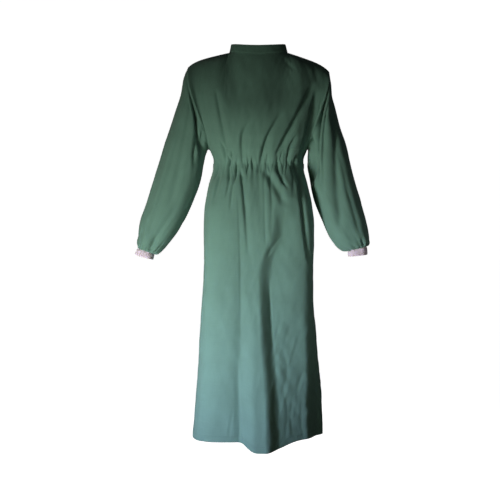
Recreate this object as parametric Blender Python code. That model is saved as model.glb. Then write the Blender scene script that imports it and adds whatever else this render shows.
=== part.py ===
"""Surgical gown that fastens at the back, filled out as when it is worn, with no wearer inside.

Metres, +Z up. The front faces -Y and the wearer's left is +X. The origin is the middle of the neckline, at the
height where the shoulder seams meet the collar. Every cloth piece is a thin wall of its own.
"""

import math
from collections import namedtuple

import bmesh
import bpy
import numpy as np

# Cloth
CLOTH = 0.0015
KNIT = 0.0026
COLLAR_CLOTH = 0.0024
TAPE = 0.0012
SEAM_GAP = 0.0003
CUFF_DROP = {"left": 0.0024, "right": 0.0012}

# Heights and widths of the body of the gown
HEM = -1.228
HIP_LINE = -0.460
UNDERARM = -0.318
UNDERARM_HALF_WIDTH = 0.156
SHOULDER_X = 0.228
SHOULDER_SLOPE = {"left": 0.0448, "right": 0.0315}
SHOULDER_ROUNDING = 0.016
ARMHOLE_REACH = {"front": 0.082, "back": 0.076}
CHEST_FULLNESS = {"front": 0.016, "back": 0.010}

# Neckline and collar
NECK_HALF_WIDTH = 0.094
NECK_SHARE = 0.44
NECK_REACH = {"front": 0.066, "back": 0.058}
NECK_HEIGHT = {"front": -0.0150, "back": 0.006}
COLLAR_TOP_HALF_WIDTH = 0.0875
COLLAR_TOP_REACH = {"front": 0.060, "back": 0.054}
COLLAR_TOP_HEIGHT = {"front": 0.0172, "side": 0.0268, "back": 0.0340}

# How far the right back panel lies under the left one where they lap at the centre back
LAP_STEP = 0.0028

# Waist
WAIST = -0.368
GATHERS = 15
GATHER_DEPTH = 0.0070
GATHER_HALF_WIDTH = 0.0064

# Mesh density. The waist tape lies between the two rows nearest the waist.
SKIRT_ROWS = 9
TAPE_ROW = 0.010
WAIST_ROW_HEIGHTS = (-0.430, -0.402, WAIST - TAPE_ROW, WAIST + TAPE_ROW, -0.338, UNDERARM)
BODICE_ROWS = 12
NECK_COLUMNS = 10
SHOULDER_COLUMNS = 14
BACK_NECK_COLUMNS = 7
LAP_COLUMNS = 2

Section = namedtuple("Section", "name height half_width centre front back squareness")
SECTIONS = (
    Section("hem", -1.228, 0.2080, -0.0022, 0.158, 0.190, 4.6),
    Section("calf", -1.150, 0.2040, 0.0, 0.160, 0.184, 4.6),
    Section("shin", -1.064, 0.1985, 0.0, 0.158, 0.180, 4.7),
    Section("knee", -0.990, 0.1912, 0.0, 0.156, 0.176, 4.8),
    Section("low_thigh", -0.890, 0.1845, -0.0010, 0.153, 0.172, 4.8),
    Section("thigh", -0.800, 0.1775, -0.0030, 0.150, 0.169, 4.8),
    Section("hip", -0.700, 0.1742, -0.0006, 0.146, 0.164, 4.6),
    Section("upper_hip", -0.600, 0.1758, 0.0004, 0.142, 0.160, 4.2),
    Section("high_hip", -0.498, 0.1725, 0.0, 0.134, 0.148, 3.7),
    Section("gather_foot", -0.428, 0.1600, -0.0008, 0.121, 0.124, 3.0),
    Section("waist", -0.368, 0.1458, 0.0, 0.108, 0.102, 2.5),
    Section("blouse", -0.343, 0.1465, 0.0, 0.123, 0.112, 2.3),
    Section("underarm", -0.318, 0.1560, 0.0, 0.134, 0.118, 2.3),
    Section("chest", -0.290, 0.1600, 0.0, 0.138, 0.119, 2.3),
)

# A fold is a soft trough (positive depth) or ridge (negative depth) that runs mostly down the cloth. x is how far
# across it lies, left and right are its half-widths towards -X and +X, and a higher power flattens its top.
Fold = namedtuple(
    "Fold",
    "name top_z top_x middle_z middle_x bottom_z bottom_x left right top middle bottom power",
    defaults=(2,),
)
FRONT_FOLDS = (
    Fold("arm_drag_right", -0.120, -0.138, -0.234, -0.119, -0.341, -0.102, 0.010, 0.012, 0.002, 0.005, 0.005),
    Fold("chest_crease", -0.215, -0.022, -0.283, -0.054, -0.372, -0.052, 0.006, 0.011, 0.002, 0.010, 0.008),
    Fold("chest_slant", -0.190, 0.074, -0.289, 0.026, -0.378, 0.005, 0.008, 0.011, 0.002, 0.012, 0.010),
    Fold("long_slant", -0.110, 0.160, -0.240, 0.118, -0.345, 0.058, 0.009, 0.013, 0.003, 0.014, 0.012),
    Fold("short_slant", -0.255, 0.126, -0.315, 0.098, -0.392, 0.092, 0.007, 0.009, 0.002, 0.009, 0.008),
    Fold("side_slant", -0.120, 0.186, -0.250, 0.158, -0.362, 0.128, 0.008, 0.010, 0.003, 0.012, 0.010),
    Fold("left_pleat", -0.376, -0.062, -0.487, -0.050, -0.700, -0.036, 0.007, 0.012, 0.010, 0.009, 0.002),
    Fold("panel_line", -0.560, -0.054, -0.900, -0.057, -1.400, -0.062, 0.006, 0.020, 0.003, 0.0045, 0.007),
    Fold("waist_slant", -0.372, 0.014, -0.432, 0.052, -0.505, 0.088, 0.016, 0.015, 0.006, 0.010, 0.004),
    Fold("right_line", -0.376, 0.124, -0.526, 0.139, -0.680, 0.158, 0.006, 0.008, 0.008, 0.012, 0.004),
    Fold("hem_lobe", -0.760, -0.006, -1.000, -0.004, -1.400, 0.000, 0.040, 0.105, 0.0, -0.016, -0.070, 3),
)
BACK_FOLDS = (
    Fold("back_drag_left", -0.110, 0.150, -0.240, 0.125, -0.345, 0.100, 0.012, 0.012, 0.003, 0.007, 0.006),
    Fold("back_drag_right", -0.120, -0.145, -0.230, -0.118, -0.345, -0.085, 0.012, 0.012, 0.002, 0.008, 0.007),
    Fold("blade_left", -0.200, 0.070, -0.290, 0.062, -0.375, 0.055, 0.010, 0.012, 0.002, 0.006, 0.007),
    Fold("blade_right", -0.220, -0.055, -0.300, -0.050, -0.375, -0.046, 0.010, 0.010, 0.001, 0.006, 0.007),
    Fold("skirt_valley_left", -0.385, 0.085, -0.760, 0.105, -1.400, 0.115, 0.020, 0.024, 0.006, 0.020, 0.026),
    Fold("skirt_ridge_left", -0.420, 0.045, -0.800, 0.060, -1.400, 0.062, 0.030, 0.034, -0.004, -0.014, -0.024),
    Fold("skirt_valley_right", -0.385, -0.075, -0.700, -0.098, -1.400, -0.108, 0.020, 0.020, 0.006, 0.018, 0.024),
    Fold("skirt_ridge_right", -0.430, -0.040, -0.820, -0.058, -1.400, -0.056, 0.030, 0.034, -0.003, -0.012, -0.022),
    Fold("side_pleat_left", -0.380, 0.125, -0.560, 0.146, -0.800, 0.150, 0.010, 0.012, 0.006, 0.009, 0.003),
    Fold("side_pleat_right", -0.380, -0.120, -0.600, -0.145, -0.860, -0.150, 0.010, 0.012, 0.006, 0.008, 0.002),
)

# A step is a soft edge that runs down the front, where the cloth to its +X side lies further back. path gives its
# middle and depth how far back, each at some heights.
Step = namedtuple("Step", "name width path depth")
FRONT_STEPS = (
    Step(
        "main_flank",
        0.044,
        (
            (-1.228, 0.042),
            (-1.130, 0.041),
            (-1.000, 0.031),
            (-0.900, 0.024),
            (-0.770, 0.020),
            (-0.685, 0.021),
            (-0.645, 0.033),
            (-0.605, 0.050),
            (-0.560, 0.057),
            (-0.490, 0.064),
        ),
        ((-1.228, 0.018), (-1.000, 0.022), (-0.770, 0.024), (-0.655, 0.022), (-0.560, 0.016), (-0.470, 0.0)),
    ),
    Step(
        "right_panel",
        0.140,
        ((-1.228, 0.092), (-0.500, 0.100)),
        ((-1.228, 0.014), (-1.000, 0.011), (-0.770, 0.006), (-0.600, 0.0)),
    ),
    Step(
        "right_corner",
        0.070,
        ((-1.228, 0.152), (-0.900, 0.156), (-0.700, 0.158)),
        ((-1.228, 0.026), (-1.000, 0.018), (-0.800, 0.005), (-0.700, 0.0)),
    ),
)
STEP_FADE = (0.60, 0.97)

# The hem hangs lower round DROOP_X, over these half-widths towards -X and +X, and the droop fades out above it.
HEM_DROOP = 0.022
DROOP_X = 0.004
DROOP_HALF_WIDTHS = (0.044, 0.084)
DROOP_RISE = 0.25

# Sleeve rings run from the armhole to the cuff. out and in are the outer and inner edges seen from the front.
Ring = namedtuple("Ring", "name out_x out_z in_x in_z centre_y half_depth")
RIGHT_SLEEVE = (
    Ring("armhole", 0.2280, -0.0475, 0.1560, -0.3180, -0.003, 0.079),
    Ring("cap", 0.2415, -0.0840, 0.1615, -0.3130, -0.004, 0.080),
    Ring("under_cap", 0.2500, -0.1320, 0.1665, -0.3190, -0.005, 0.080),
    Ring("upper_arm", 0.2670, -0.1850, 0.1710, -0.3350, -0.007, 0.079),
    Ring("mid_arm", 0.2880, -0.2500, 0.1790, -0.3640, -0.010, 0.076),
    Ring("above_elbow", 0.3080, -0.3180, 0.1865, -0.4060, -0.014, 0.073),
    Ring("elbow", 0.3340, -0.4000, 0.2025, -0.4640, -0.020, 0.070),
    Ring("forearm", 0.3570, -0.4800, 0.2270, -0.5200, -0.029, 0.066),
    Ring("low_forearm", 0.3755, -0.5370, 0.2565, -0.5720, -0.037, 0.060),
    Ring("bag_top", 0.3850, -0.5870, 0.2830, -0.6110, -0.043, 0.053),
    Ring("bag_foot", 0.3890, -0.6160, 0.3060, -0.6390, -0.047, 0.044),
    Ring("bag_turn", 0.3880, -0.6290, 0.3250, -0.6505, -0.049, 0.034),
    Ring("wrist", 0.3850, -0.6320, 0.3350, -0.6480, -0.049, 0.027),
)
RIGHT_CUFF_END = Ring("cuff_end", 0.3935, -0.6520, 0.3385, -0.6680, -0.052, 0.0275)
LEFT_SLEEVE = (
    Ring("armhole", 0.2280, -0.0608, 0.1560, -0.3180, -0.003, 0.079),
    Ring("cap", 0.2355, -0.1010, 0.1615, -0.3145, -0.004, 0.080),
    Ring("under_cap", 0.2400, -0.1500, 0.1625, -0.3250, -0.005, 0.080),
    Ring("upper_arm", 0.2510, -0.1960, 0.1590, -0.3460, -0.007, 0.079),
    Ring("mid_arm", 0.2680, -0.2550, 0.1600, -0.3760, -0.010, 0.076),
    Ring("above_elbow", 0.2855, -0.3180, 0.1660, -0.4200, -0.014, 0.073),
    Ring("elbow", 0.3065, -0.4000, 0.1765, -0.4700, -0.020, 0.070),
    Ring("forearm", 0.3280, -0.4800, 0.1965, -0.5240, -0.029, 0.066),
    Ring("low_forearm", 0.3430, -0.5370, 0.2165, -0.5750, -0.037, 0.060),
    Ring("bag_top", 0.3530, -0.5830, 0.2400, -0.6140, -0.043, 0.053),
    Ring("bag_foot", 0.3560, -0.6080, 0.2630, -0.6365, -0.047, 0.044),
    Ring("bag_turn", 0.3520, -0.6220, 0.2800, -0.6420, -0.049, 0.034),
    Ring("wrist", 0.3440, -0.6260, 0.2880, -0.6370, -0.049, 0.027),
)
LEFT_CUFF_END = Ring("cuff_end", 0.3455, -0.6520, 0.2870, -0.6580, -0.052, 0.0275)

# Folds of a sleeve. along counts rings from the armhole, turn is in degrees round the sleeve: 0 is the outer edge,
# 90 the front, 180 the inner edge, 270 the back.
ArmFold = namedtuple("ArmFold", "name start start_turn end end_turn half_turn depth")
RIGHT_SLEEVE_FOLDS = (
    ArmFold("armhole_drag", 0.6, 100, 5.0, 128, 9, 0.009),
    ArmFold("underarm_drag", 0.8, 128, 4.2, 152, 8, 0.008),
    ArmFold("front_line", 3.0, 80, 8.6, 74, 10, 0.004),
    ArmFold("wrist_crease", 8.6, 96, 12.0, 104, 9, 0.007),
    ArmFold("back_drag", 0.8, 250, 5.5, 226, 10, 0.008),
    ArmFold("back_line", 3.5, 292, 9.0, 284, 12, 0.005),
)
LEFT_SLEEVE_FOLDS = (
    ArmFold("armhole_drag", 0.6, 104, 5.4, 132, 8, 0.009),
    ArmFold("underarm_drag", 0.6, 136, 4.6, 156, 8, 0.007),
    ArmFold("front_valley", 1.2, 40, 9.4, 84, 10, 0.011),
    ArmFold("front_line", 2.0, 84, 7.0, 118, 8, 0.006),
    ArmFold("wrist_crease", 9.0, 62, 12.0, 66, 8, 0.007),
    ArmFold("back_drag", 0.8, 254, 5.5, 230, 10, 0.008),
    ArmFold("back_line", 3.0, 300, 9.0, 288, 12, 0.006),
)
WRIST_GATHERS = 8
WRIST_GATHER_DEPTH = 0.0035
RING_STEPS = (0.0, 0.3, 0.8, 1.5, 2.3, 3.1, 4.0, 5.0, 6.0, 7.0, 8.0, 8.8, 9.6, 10.3, 11.0, 12.0)

# Tapes and their bows
WAIST_TAPE_WIDTH = 0.016
Bow = namedtuple(
    "Bow",
    "name height loop_reach loop_drop tail_spread tail_length knot_width knot_height knot_depth tape_width",
)
WAIST_BOW = Bow("waist_bow", WAIST, 0.074, 0.030, 0.030, 0.200, 0.022, 0.019, 0.014, 0.015)
NECK_BOW = Bow("neck_bow", 0.020, 0.042, 0.016, 0.018, 0.085, 0.014, 0.013, 0.010, 0.010)
TAIL_LIFT = 0.0036
LOOP_STAND = 0.0095
LOOP_SPREAD = 0.0045

GOWN_GREEN = (0.075, 0.165, 0.125, 1.0)
CUFF_LILAC = (0.56, 0.50, 0.58, 1.0)


def smooth_curve(knots, values, at):
    """A cubic through the knots whose slopes never overshoot them, held level outside their range."""
    knots = np.asarray(knots, float)
    values = np.asarray(values, float)
    at = np.clip(at, knots[0], knots[-1])
    rise = np.diff(values) / np.diff(knots)
    slope = np.concatenate([rise[:1], (rise[:-1] + rise[1:]) / 2, rise[-1:]])
    slope[1:-1][rise[:-1] * rise[1:] <= 0] = 0.0
    index = np.clip(np.searchsorted(knots, at, side="right") - 1, 0, len(knots) - 2)
    span = knots[index + 1] - knots[index]
    t = (at - knots[index]) / span
    return (
        (2 * t**3 - 3 * t**2 + 1) * values[index]
        + (t**3 - 2 * t**2 + t) * span * slope[index]
        + (3 * t**2 - 2 * t**3) * values[index + 1]
        + (t**3 - t**2) * span * slope[index + 1]
    )


def smooth_step(low, high, value):
    t = np.clip((value - low) / (high - low), 0.0, 1.0)
    return t * t * (3 - 2 * t)


def bell(offset, width, power=2):
    """1 in the middle and fading out to both sides, with a flatter top at a higher power."""
    return np.exp(-(np.abs(offset / width) ** power))


def from_table(rows, key, column, at):
    return smooth_curve([getattr(r, key) for r in rows], [getattr(r, column) for r in rows], at)


def hoop(face, across, height):
    """A point of the plain body tube: across is -1 to 1 from side seam to side seam of that face."""
    angle = across * math.pi / 2
    half_width = from_table(SECTIONS, "height", "half_width", height)
    reach = from_table(SECTIONS, "height", face, height)
    power = from_table(SECTIONS, "height", "squareness", height)
    radius = (np.abs(np.cos(angle) / reach) ** power + np.abs(np.sin(angle) / half_width) ** power) ** (
        -1 / power
    )
    away = -1.0 if face == "front" else 1.0
    centre = from_table(SECTIONS, "height", "centre", height)
    return centre + radius * np.sin(angle), away * radius * np.cos(angle)


def top_edge(face, across):
    """The neckline in the middle and the shoulder seams on both sides of it."""
    share = np.abs(across)
    away = -1.0 if face == "front" else 1.0
    neck_turn = np.clip(share / NECK_SHARE, 0, 1) * math.pi / 2
    shoulder = np.clip((share - NECK_SHARE) / (1 - NECK_SHARE), 0, 1)
    x = NECK_HALF_WIDTH * np.sin(neck_turn) + (SHOULDER_X - NECK_HALF_WIDTH) * shoulder
    y = away * NECK_REACH[face] * np.cos(neck_turn)
    z = NECK_HEIGHT[face] * np.cos(neck_turn) ** 2
    slope = np.where(across > 0, SHOULDER_SLOPE["left"], SHOULDER_SLOPE["right"])
    z = z - slope * shoulder - SHOULDER_ROUNDING * shoulder**6
    return np.sign(across) * x, y, z


def bodice(face, across, rise):
    """A point above the underarm: rise is 0 at the underarm and 1 at the neckline and shoulder seams."""
    share = np.abs(across)
    away = -1.0 if face == "front" else 1.0
    low_x, low_y = hoop(face, across, np.full_like(across, UNDERARM))
    top_x, top_y, top_z = top_edge(face, across)
    armhole_x = UNDERARM_HALF_WIDTH + (SHOULDER_X - UNDERARM_HALF_WIDTH) * rise**1.15
    spread = rise**2
    x = (1 - spread) * low_x * armhole_x / UNDERARM_HALF_WIDTH + spread * top_x
    z = UNDERARM + (top_z - UNDERARM) * rise
    neck_roll = rise**1.7
    shoulder_roll = 1 - (1 - np.clip(rise, 0, 1) ** 2.3) ** (1 / 2.3)
    on_shoulder = smooth_step(NECK_SHARE * 0.5, NECK_SHARE * 1.3, share)
    roll = neck_roll * (1 - on_shoulder) + shoulder_roll * on_shoulder
    armhole_bow = ARMHOLE_REACH[face] * 2 * np.sqrt(np.clip(rise * (1 - rise), 0, 1)) * share**4
    fullness = CHEST_FULLNESS[face] * np.exp(-(((rise - 0.32) / 0.26) ** 2))
    fullness = fullness * (1 - smooth_step(0.35, 1.0, share)) * smooth_step(0.0, 0.15, rise)
    y = low_y * (1 - roll) + top_y * roll + away * (armhole_bow + fullness)
    return x, y, z


def base_surface(face, across, level):
    """The unfolded body. level is 0 at the hem, 1 at the underarm, 2 at the neckline and shoulders."""
    across, level = np.broadcast_arrays(np.asarray(across, float), np.asarray(level, float))
    height = HEM + (UNDERARM - HEM) * np.clip(level, 0, 1)
    tube_x, tube_y = hoop(face, across, height)
    x, y, z = bodice(face, across, np.clip(level - 1, 0, 1))
    upper = level > 1
    return np.stack(
        [np.where(upper, x, tube_x), np.where(upper, y, tube_y), np.where(upper, z, height)], axis=-1
    )


def fold_depth(folds, across_x, height):
    """The summed depth of the folds at each point, as seen square on to that face."""
    total = np.zeros_like(height)
    tip = 0.030
    for fold in folds:
        knots = (fold.bottom_z, fold.middle_z, fold.top_z)
        centre = smooth_curve(knots, (fold.bottom_x, fold.middle_x, fold.top_x), height)
        depth = smooth_curve(knots, (fold.bottom, fold.middle, fold.top), height)
        offset = across_x - centre
        width = np.where(offset < 0, fold.left, fold.right)
        run = smooth_step(fold.bottom_z, fold.bottom_z + tip, height)
        run = run * (1 - smooth_step(fold.top_z - tip, fold.top_z, height))
        total += depth * run * bell(offset, width, fold.power)
    return total


def step_depth(x, height):
    """How far back the steps of the front lie."""
    total = np.zeros_like(height)
    for step in FRONT_STEPS:
        middle = smooth_curve(*zip(*step.path), height)
        depth = smooth_curve(*zip(*step.depth), height)
        total += depth * smooth_step(-step.width / 2, step.width / 2, x - middle)
    return total


def hem_droop(x, height):
    """How much lower the cloth hangs where the front stands out."""
    offset = x - DROOP_X
    width = np.where(offset < 0, *DROOP_HALF_WIDTHS)
    return HEM_DROOP * bell(offset, width, 3) * (1 - smooth_step(HEM, HEM + DROOP_RISE, height))


def gather_depth(across_x, height):
    """Uneven puckers drawn in by the waist tape, each with its own reach above and below the waist."""
    total = np.zeros_like(height)
    half_width = 0.138
    for k in range(GATHERS):
        wander = math.sin(2.4 * k + 0.7)
        centre = half_width * (2 * (k + 0.5) / GATHERS - 1) + 0.005 * wander
        above = 0.034 + 0.020 * math.sin(1.7 * k + 0.3)
        below = 0.060 + 0.034 * math.sin(2.9 * k + 1.1)
        reach = np.where(height > WAIST, above, below)
        lean = 0.10 * wander * (height - WAIST)
        run = bell(height - WAIST, reach)
        total += GATHER_DEPTH * (0.8 + 0.2 * wander) * run * bell(across_x - centre - lean, GATHER_HALF_WIDTH)
    return total


def body_surface(face, across, level):
    """The folded body: folds and gathers push the plain form in along its normal, and fade at the side seams."""
    across, level = np.broadcast_arrays(np.asarray(across, float), np.asarray(level, float))
    point = base_surface(face, across, level)
    x, height = point[..., 0], point[..., 2]
    depth = fold_depth(FRONT_FOLDS if face == "front" else BACK_FOLDS, x, height)
    depth = depth + gather_depth(x, height)
    at_edge = smooth_step(0.86, 1.0, np.abs(across))
    at_top = smooth_step(1.80, 2.0, level)
    depth = depth * (1 - at_edge) * (1 - at_top)
    point = point - outward(base_surface, face, across, level) * depth[..., None]
    if face == "front":
        back = step_depth(x, height) * (1 - smooth_step(*STEP_FADE, across))
        point = point + np.stack([0 * back, back, -hem_droop(x, height)], axis=-1)
    return point


def unit(vectors):
    return vectors / np.linalg.norm(vectors, axis=-1, keepdims=True)


def outward(surface, face, across, level, step=0.02):
    """Unit normals that point out of the gown, from differences wide enough to smooth over its corners."""
    right = surface(face, np.minimum(across + step, 1.0), level)
    left = surface(face, np.maximum(across - step, -1.0), level)
    above = surface(face, across, np.minimum(level + step, 2.0))
    below = surface(face, across, np.maximum(level - step, 0.0))
    normal = np.cross(right - left, above - below)
    return unit(normal if face == "front" else -normal)


def grid_normals(grid, like):
    """Unit normals of a grid of points, on the side that the vectors of like point to."""
    normal = np.cross(np.gradient(grid, axis=1), np.gradient(grid, axis=0))
    return unit(normal * np.sign(np.sum(normal * like, axis=-1, keepdims=True)))


def row_levels():
    """Rows close together at the waist and, for the armhole, at both ends of the bodice."""
    skirt = np.linspace(HEM, HIP_LINE, SKIRT_ROWS + 1)
    tube = (np.concatenate([skirt, WAIST_ROW_HEIGHTS]) - HEM) / (UNDERARM - HEM)
    turn = np.linspace(0, math.pi, BODICE_ROWS + 1)[1:]
    return np.concatenate([tube, 1 + (1 - np.cos(turn)) / 2])


def trim(grid, first_row=0.0, last_row=0.0, first_column=0.0, last_column=0.0):
    """Draws the named borders of a grid of points in along the cloth by these lengths."""
    grid = grid.copy()
    for border, inner, length in (
        (np.s_[0, :], np.s_[1, :], first_row),
        (np.s_[-1, :], np.s_[-2, :], last_row),
        (np.s_[:, 0], np.s_[:, 1], first_column),
        (np.s_[:, -1], np.s_[:, -2], last_column),
    ):
        if length:
            grid[border] += length * unit(grid[inner] - grid[border])
    return grid


def wall(name, grid, normals, thickness, material, closed=False):
    """A cloth wall: the grid's two faces, half the thickness either side of it, joined round every edge."""
    rows, columns = grid.shape[:2]
    half = normals * thickness / 2
    mesh = bpy.data.meshes.new(name)
    bm = bmesh.new()
    outer = [[bm.verts.new(p) for p in row] for row in (grid + half)]
    inner = [[bm.verts.new(p) for p in row] for row in (grid - half)]
    last = columns if closed else columns - 1
    for r in range(rows - 1):
        for c in range(last):
            d = (c + 1) % columns
            bm.faces.new((outer[r][c], outer[r][d], outer[r + 1][d], outer[r + 1][c]))
            bm.faces.new((inner[r][c], inner[r + 1][c], inner[r + 1][d], inner[r][d]))
    for c in range(last):
        d = (c + 1) % columns
        for r in (0, rows - 1):
            bm.faces.new((outer[r][c], inner[r][c], inner[r][d], outer[r][d]))
    if not closed:
        for r in range(rows - 1):
            for c in (0, columns - 1):
                bm.faces.new((outer[r][c], outer[r + 1][c], inner[r + 1][c], inner[r][c]))
    bmesh.ops.triangulate(bm, faces=bm.faces[:])
    bmesh.ops.recalc_face_normals(bm, faces=bm.faces[:])
    bm.to_mesh(mesh)
    bm.free()
    mesh.shade_smooth()
    mesh.set_sharp_from_angle(angle=math.radians(50))
    mesh.materials.append(material)
    body = bpy.data.objects.new(name, mesh)
    bpy.context.scene.collection.objects.link(body)
    return body


def cloth_material(name, colour, roughness):
    material = bpy.data.materials.new(name)
    material.use_nodes = True
    shader = material.node_tree.nodes["Principled BSDF"]
    shader.inputs["Base Color"].default_value = colour
    shader.inputs["Roughness"].default_value = roughness
    shader.inputs["Metallic"].default_value = 0.0
    return material


def side_shares(neck_columns):
    """Column places from the middle of the neck to the side seam or armhole."""
    neck = np.linspace(0, NECK_SHARE, neck_columns + 1)
    shoulder = np.linspace(NECK_SHARE, 1, SHOULDER_COLUMNS + 1)[1:]
    return np.concatenate([neck, shoulder])


def seam_normals(normals, level, shoulder_columns, side_columns):
    """Normals along the side seams and shoulder seams lie in the plane of the seam, as the other panel's do."""
    normals = normals.copy()
    normals[np.ix_(np.flatnonzero(level <= 1), side_columns)] *= (1.0, 0.0, 1.0)
    normals[-1, shoulder_columns] *= (1.0, 0.0, 1.0)
    return unit(normals)


def front_panel():
    """The front's grid of points and its normals."""
    half = side_shares(NECK_COLUMNS)
    across = np.concatenate([-half[:0:-1], half])
    level = row_levels()
    grid = body_surface("front", across[None, :], level[:, None])
    normals = grid_normals(grid, outward(base_surface, "front", across[None, :], level[:, None]))
    shoulders = np.flatnonzero(np.abs(across) >= NECK_SHARE)
    return grid, seam_normals(normals, level, shoulders, [0, -1])


def back_panel(side):
    """side is 1 for the wearer's left panel, which laps over the right one. Columns run out to the side seam."""
    lap = np.arange(-LAP_COLUMNS, 0) * NECK_SHARE / BACK_NECK_COLUMNS
    share = np.concatenate([lap, side_shares(BACK_NECK_COLUMNS)])
    level = row_levels()
    grid = body_surface("back", side * share[None, :], level[:, None])
    normals = grid_normals(grid, outward(base_surface, "back", side * share[None, :], level[:, None]))
    if side < 0:
        under = 1 - smooth_step(0.16, 0.42, share[None, :])
        grid = grid - normals * (LAP_STEP * under)[..., None]
    return grid, seam_normals(normals, level, np.flatnonzero(share >= NECK_SHARE), [-1])


def armhole_loop(front, back, column):
    """The armhole's points or normals from the shoulder down the front, under the arm and up the back."""
    return np.concatenate([front[: -BODICE_ROWS - 2 : -1, column], back[-BODICE_ROWS:-1, -1]])


def set_armhole(front, back, column, loop):
    front[: -BODICE_ROWS - 2 : -1, column] = loop[: BODICE_ROWS + 1]
    back[-BODICE_ROWS:-1, -1] = loop[BODICE_ROWS + 1 :]
    back[-1, -1] = loop[0]
    back[-BODICE_ROWS - 1, -1] = loop[BODICE_ROWS]


def ring_points(rows, at, turns, side):
    """Points of a sleeve's plain rings. at counts rows of the table and turns are in radians from the outer edge."""
    values = {}
    for column in ("out_x", "out_z", "in_x", "in_z", "centre_y", "half_depth"):
        values[column] = smooth_curve(range(len(rows)), [getattr(r, column) for r in rows], at)
    swing = np.cos(turns)
    x = (values["out_x"] + values["in_x"]) / 2 + (values["out_x"] - values["in_x"]) / 2 * swing
    z = (values["out_z"] + values["in_z"]) / 2 + (values["out_z"] - values["in_z"]) / 2 * swing
    y = values["centre_y"] - values["half_depth"] * np.sin(turns)
    return np.stack([side * x, y, z], axis=-1)


def tube_normals(grid, side):
    """Outward normals of a tube whose columns go round it and whose rows go down it."""
    around = np.roll(grid, -1, axis=1) - np.roll(grid, 1, axis=1)
    return unit(np.cross(around, np.gradient(grid, axis=0)) * side)


def arm_fold_depth(folds, at, turns):
    total = np.zeros(np.broadcast(at, turns).shape)
    degrees = np.degrees(turns)
    last = len(RIGHT_SLEEVE) - 1
    for fold in folds:
        share = np.clip((at - fold.start) / (fold.end - fold.start), 0, 1)
        centre = fold.start_turn + (fold.end_turn - fold.start_turn) * share
        run = smooth_step(fold.start - 0.2, fold.start + 0.8, at)
        run = run * (1 - smooth_step(min(fold.end - 0.9, last - 1.8), min(fold.end + 0.3, last - 0.9), at))
        total += fold.depth * run * np.exp(-(((degrees - centre) / fold.half_turn) ** 2))
    waves = 0.5 + 0.5 * np.cos(WRIST_GATHERS * turns + 0.8 * np.sin(2 * turns))
    near_wrist = smooth_step(last - 3.4, last - 1.6, at) * (1 - smooth_step(last - 1.9, last - 0.7, at))
    return total + WRIST_GATHER_DEPTH * waves * near_wrist


def sleeve_turns():
    half = np.linspace(0, math.pi, BODICE_ROWS + 1)
    return np.concatenate([half, math.pi + half[1:-1]])[None, :]


def sleeve_tube(rows, folds, side, loop, loop_normals):
    """The sleeve's grid and normals. Its first ring follows the armhole and shares mitred normals with it."""
    turns = sleeve_turns()
    at = np.array(RING_STEPS)[:, None]
    plain = ring_points(rows, at + 0 * turns, turns + 0 * at, side)
    settle = smooth_step(0.0, 2.2, at)[..., None]
    grid = plain * settle + (plain - plain[:1] + loop[None]) * (1 - settle)
    depth = arm_fold_depth(folds, at, turns) * smooth_step(0.0, 0.8, at)
    grid = grid - tube_normals(grid, side) * depth[..., None]
    normals = tube_normals(grid, side)
    normals[0] = unit(loop_normals + normals[1])
    around = np.roll(loop, -1, axis=0) - np.roll(loop, 1, axis=0)
    grid[0] += unit(np.cross(normals[0], around)) * side * SEAM_GAP
    return grid, normals


def make_cuff(word, rows, end, side, material):
    """The cuff hangs just below the wrist ring of its sleeve, clear of the sleeve's wall that turns in there."""
    turns = sleeve_turns()
    at = np.array([0.0, 0.5, 1.0])[:, None]
    grid = ring_points((rows[-1], end), at + 0 * turns, turns + 0 * at, side)
    grid = trim(grid, first_row=CUFF_DROP[word])
    wall("cuff_" + word, grid, tube_normals(grid, side), KNIT, material, closed=True)


def make_body(material):
    """The three panels and the two sleeves, which share the normals of the armhole seams."""
    edge = SEAM_GAP / 2
    front, front_normals = front_panel()
    for side, word, rows, folds in (
        (1, "left", LEFT_SLEEVE, LEFT_SLEEVE_FOLDS),
        (-1, "right", RIGHT_SLEEVE, RIGHT_SLEEVE_FOLDS),
    ):
        column = -1 if side > 0 else 0
        back, back_normals = back_panel(side)
        loop = armhole_loop(front, back, column)
        loop_normals = armhole_loop(front_normals, back_normals, column)
        sleeve, sleeve_normals = sleeve_tube(rows, folds, side, loop, loop_normals)
        set_armhole(front_normals, back_normals, column, sleeve_normals[0])
        sleeve = trim(sleeve, last_row=edge)
        wall("sleeve_" + word, sleeve, sleeve_normals, CLOTH, material, closed=True)
        back = trim(back, last_row=edge, last_column=edge)
        wall("back_" + word, back, back_normals, CLOTH, material)
    front = trim(front, last_row=edge, first_column=edge, last_column=edge)
    wall("front", front, front_normals, CLOTH, material)


def collar_ring(rise, turn):
    """turn is in radians from the centre front; rise is 0 at the neckline and 1 at the collar's top edge."""
    facing = np.cos(turn)
    reach_low = np.where(facing > 0, NECK_REACH["front"], NECK_REACH["back"])
    reach_top = np.where(facing > 0, COLLAR_TOP_REACH["front"], COLLAR_TOP_REACH["back"])
    low_z = np.where(facing > 0, NECK_HEIGHT["front"], NECK_HEIGHT["back"]) * facing**2
    top_z = COLLAR_TOP_HEIGHT["side"] + facing**2 * (
        np.where(facing > 0, COLLAR_TOP_HEIGHT["front"], COLLAR_TOP_HEIGHT["back"])
        - COLLAR_TOP_HEIGHT["side"]
    )
    clear = SEAM_GAP + CLOTH / 2
    x = (NECK_HALF_WIDTH + (COLLAR_TOP_HALF_WIDTH - NECK_HALF_WIDTH) * rise) * np.sin(turn)
    y = -(reach_low + (reach_top - reach_low) * rise) * facing
    z = low_z + clear + (top_z - low_z - clear) * rise
    return np.stack([x, y, z], axis=-1)


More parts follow.
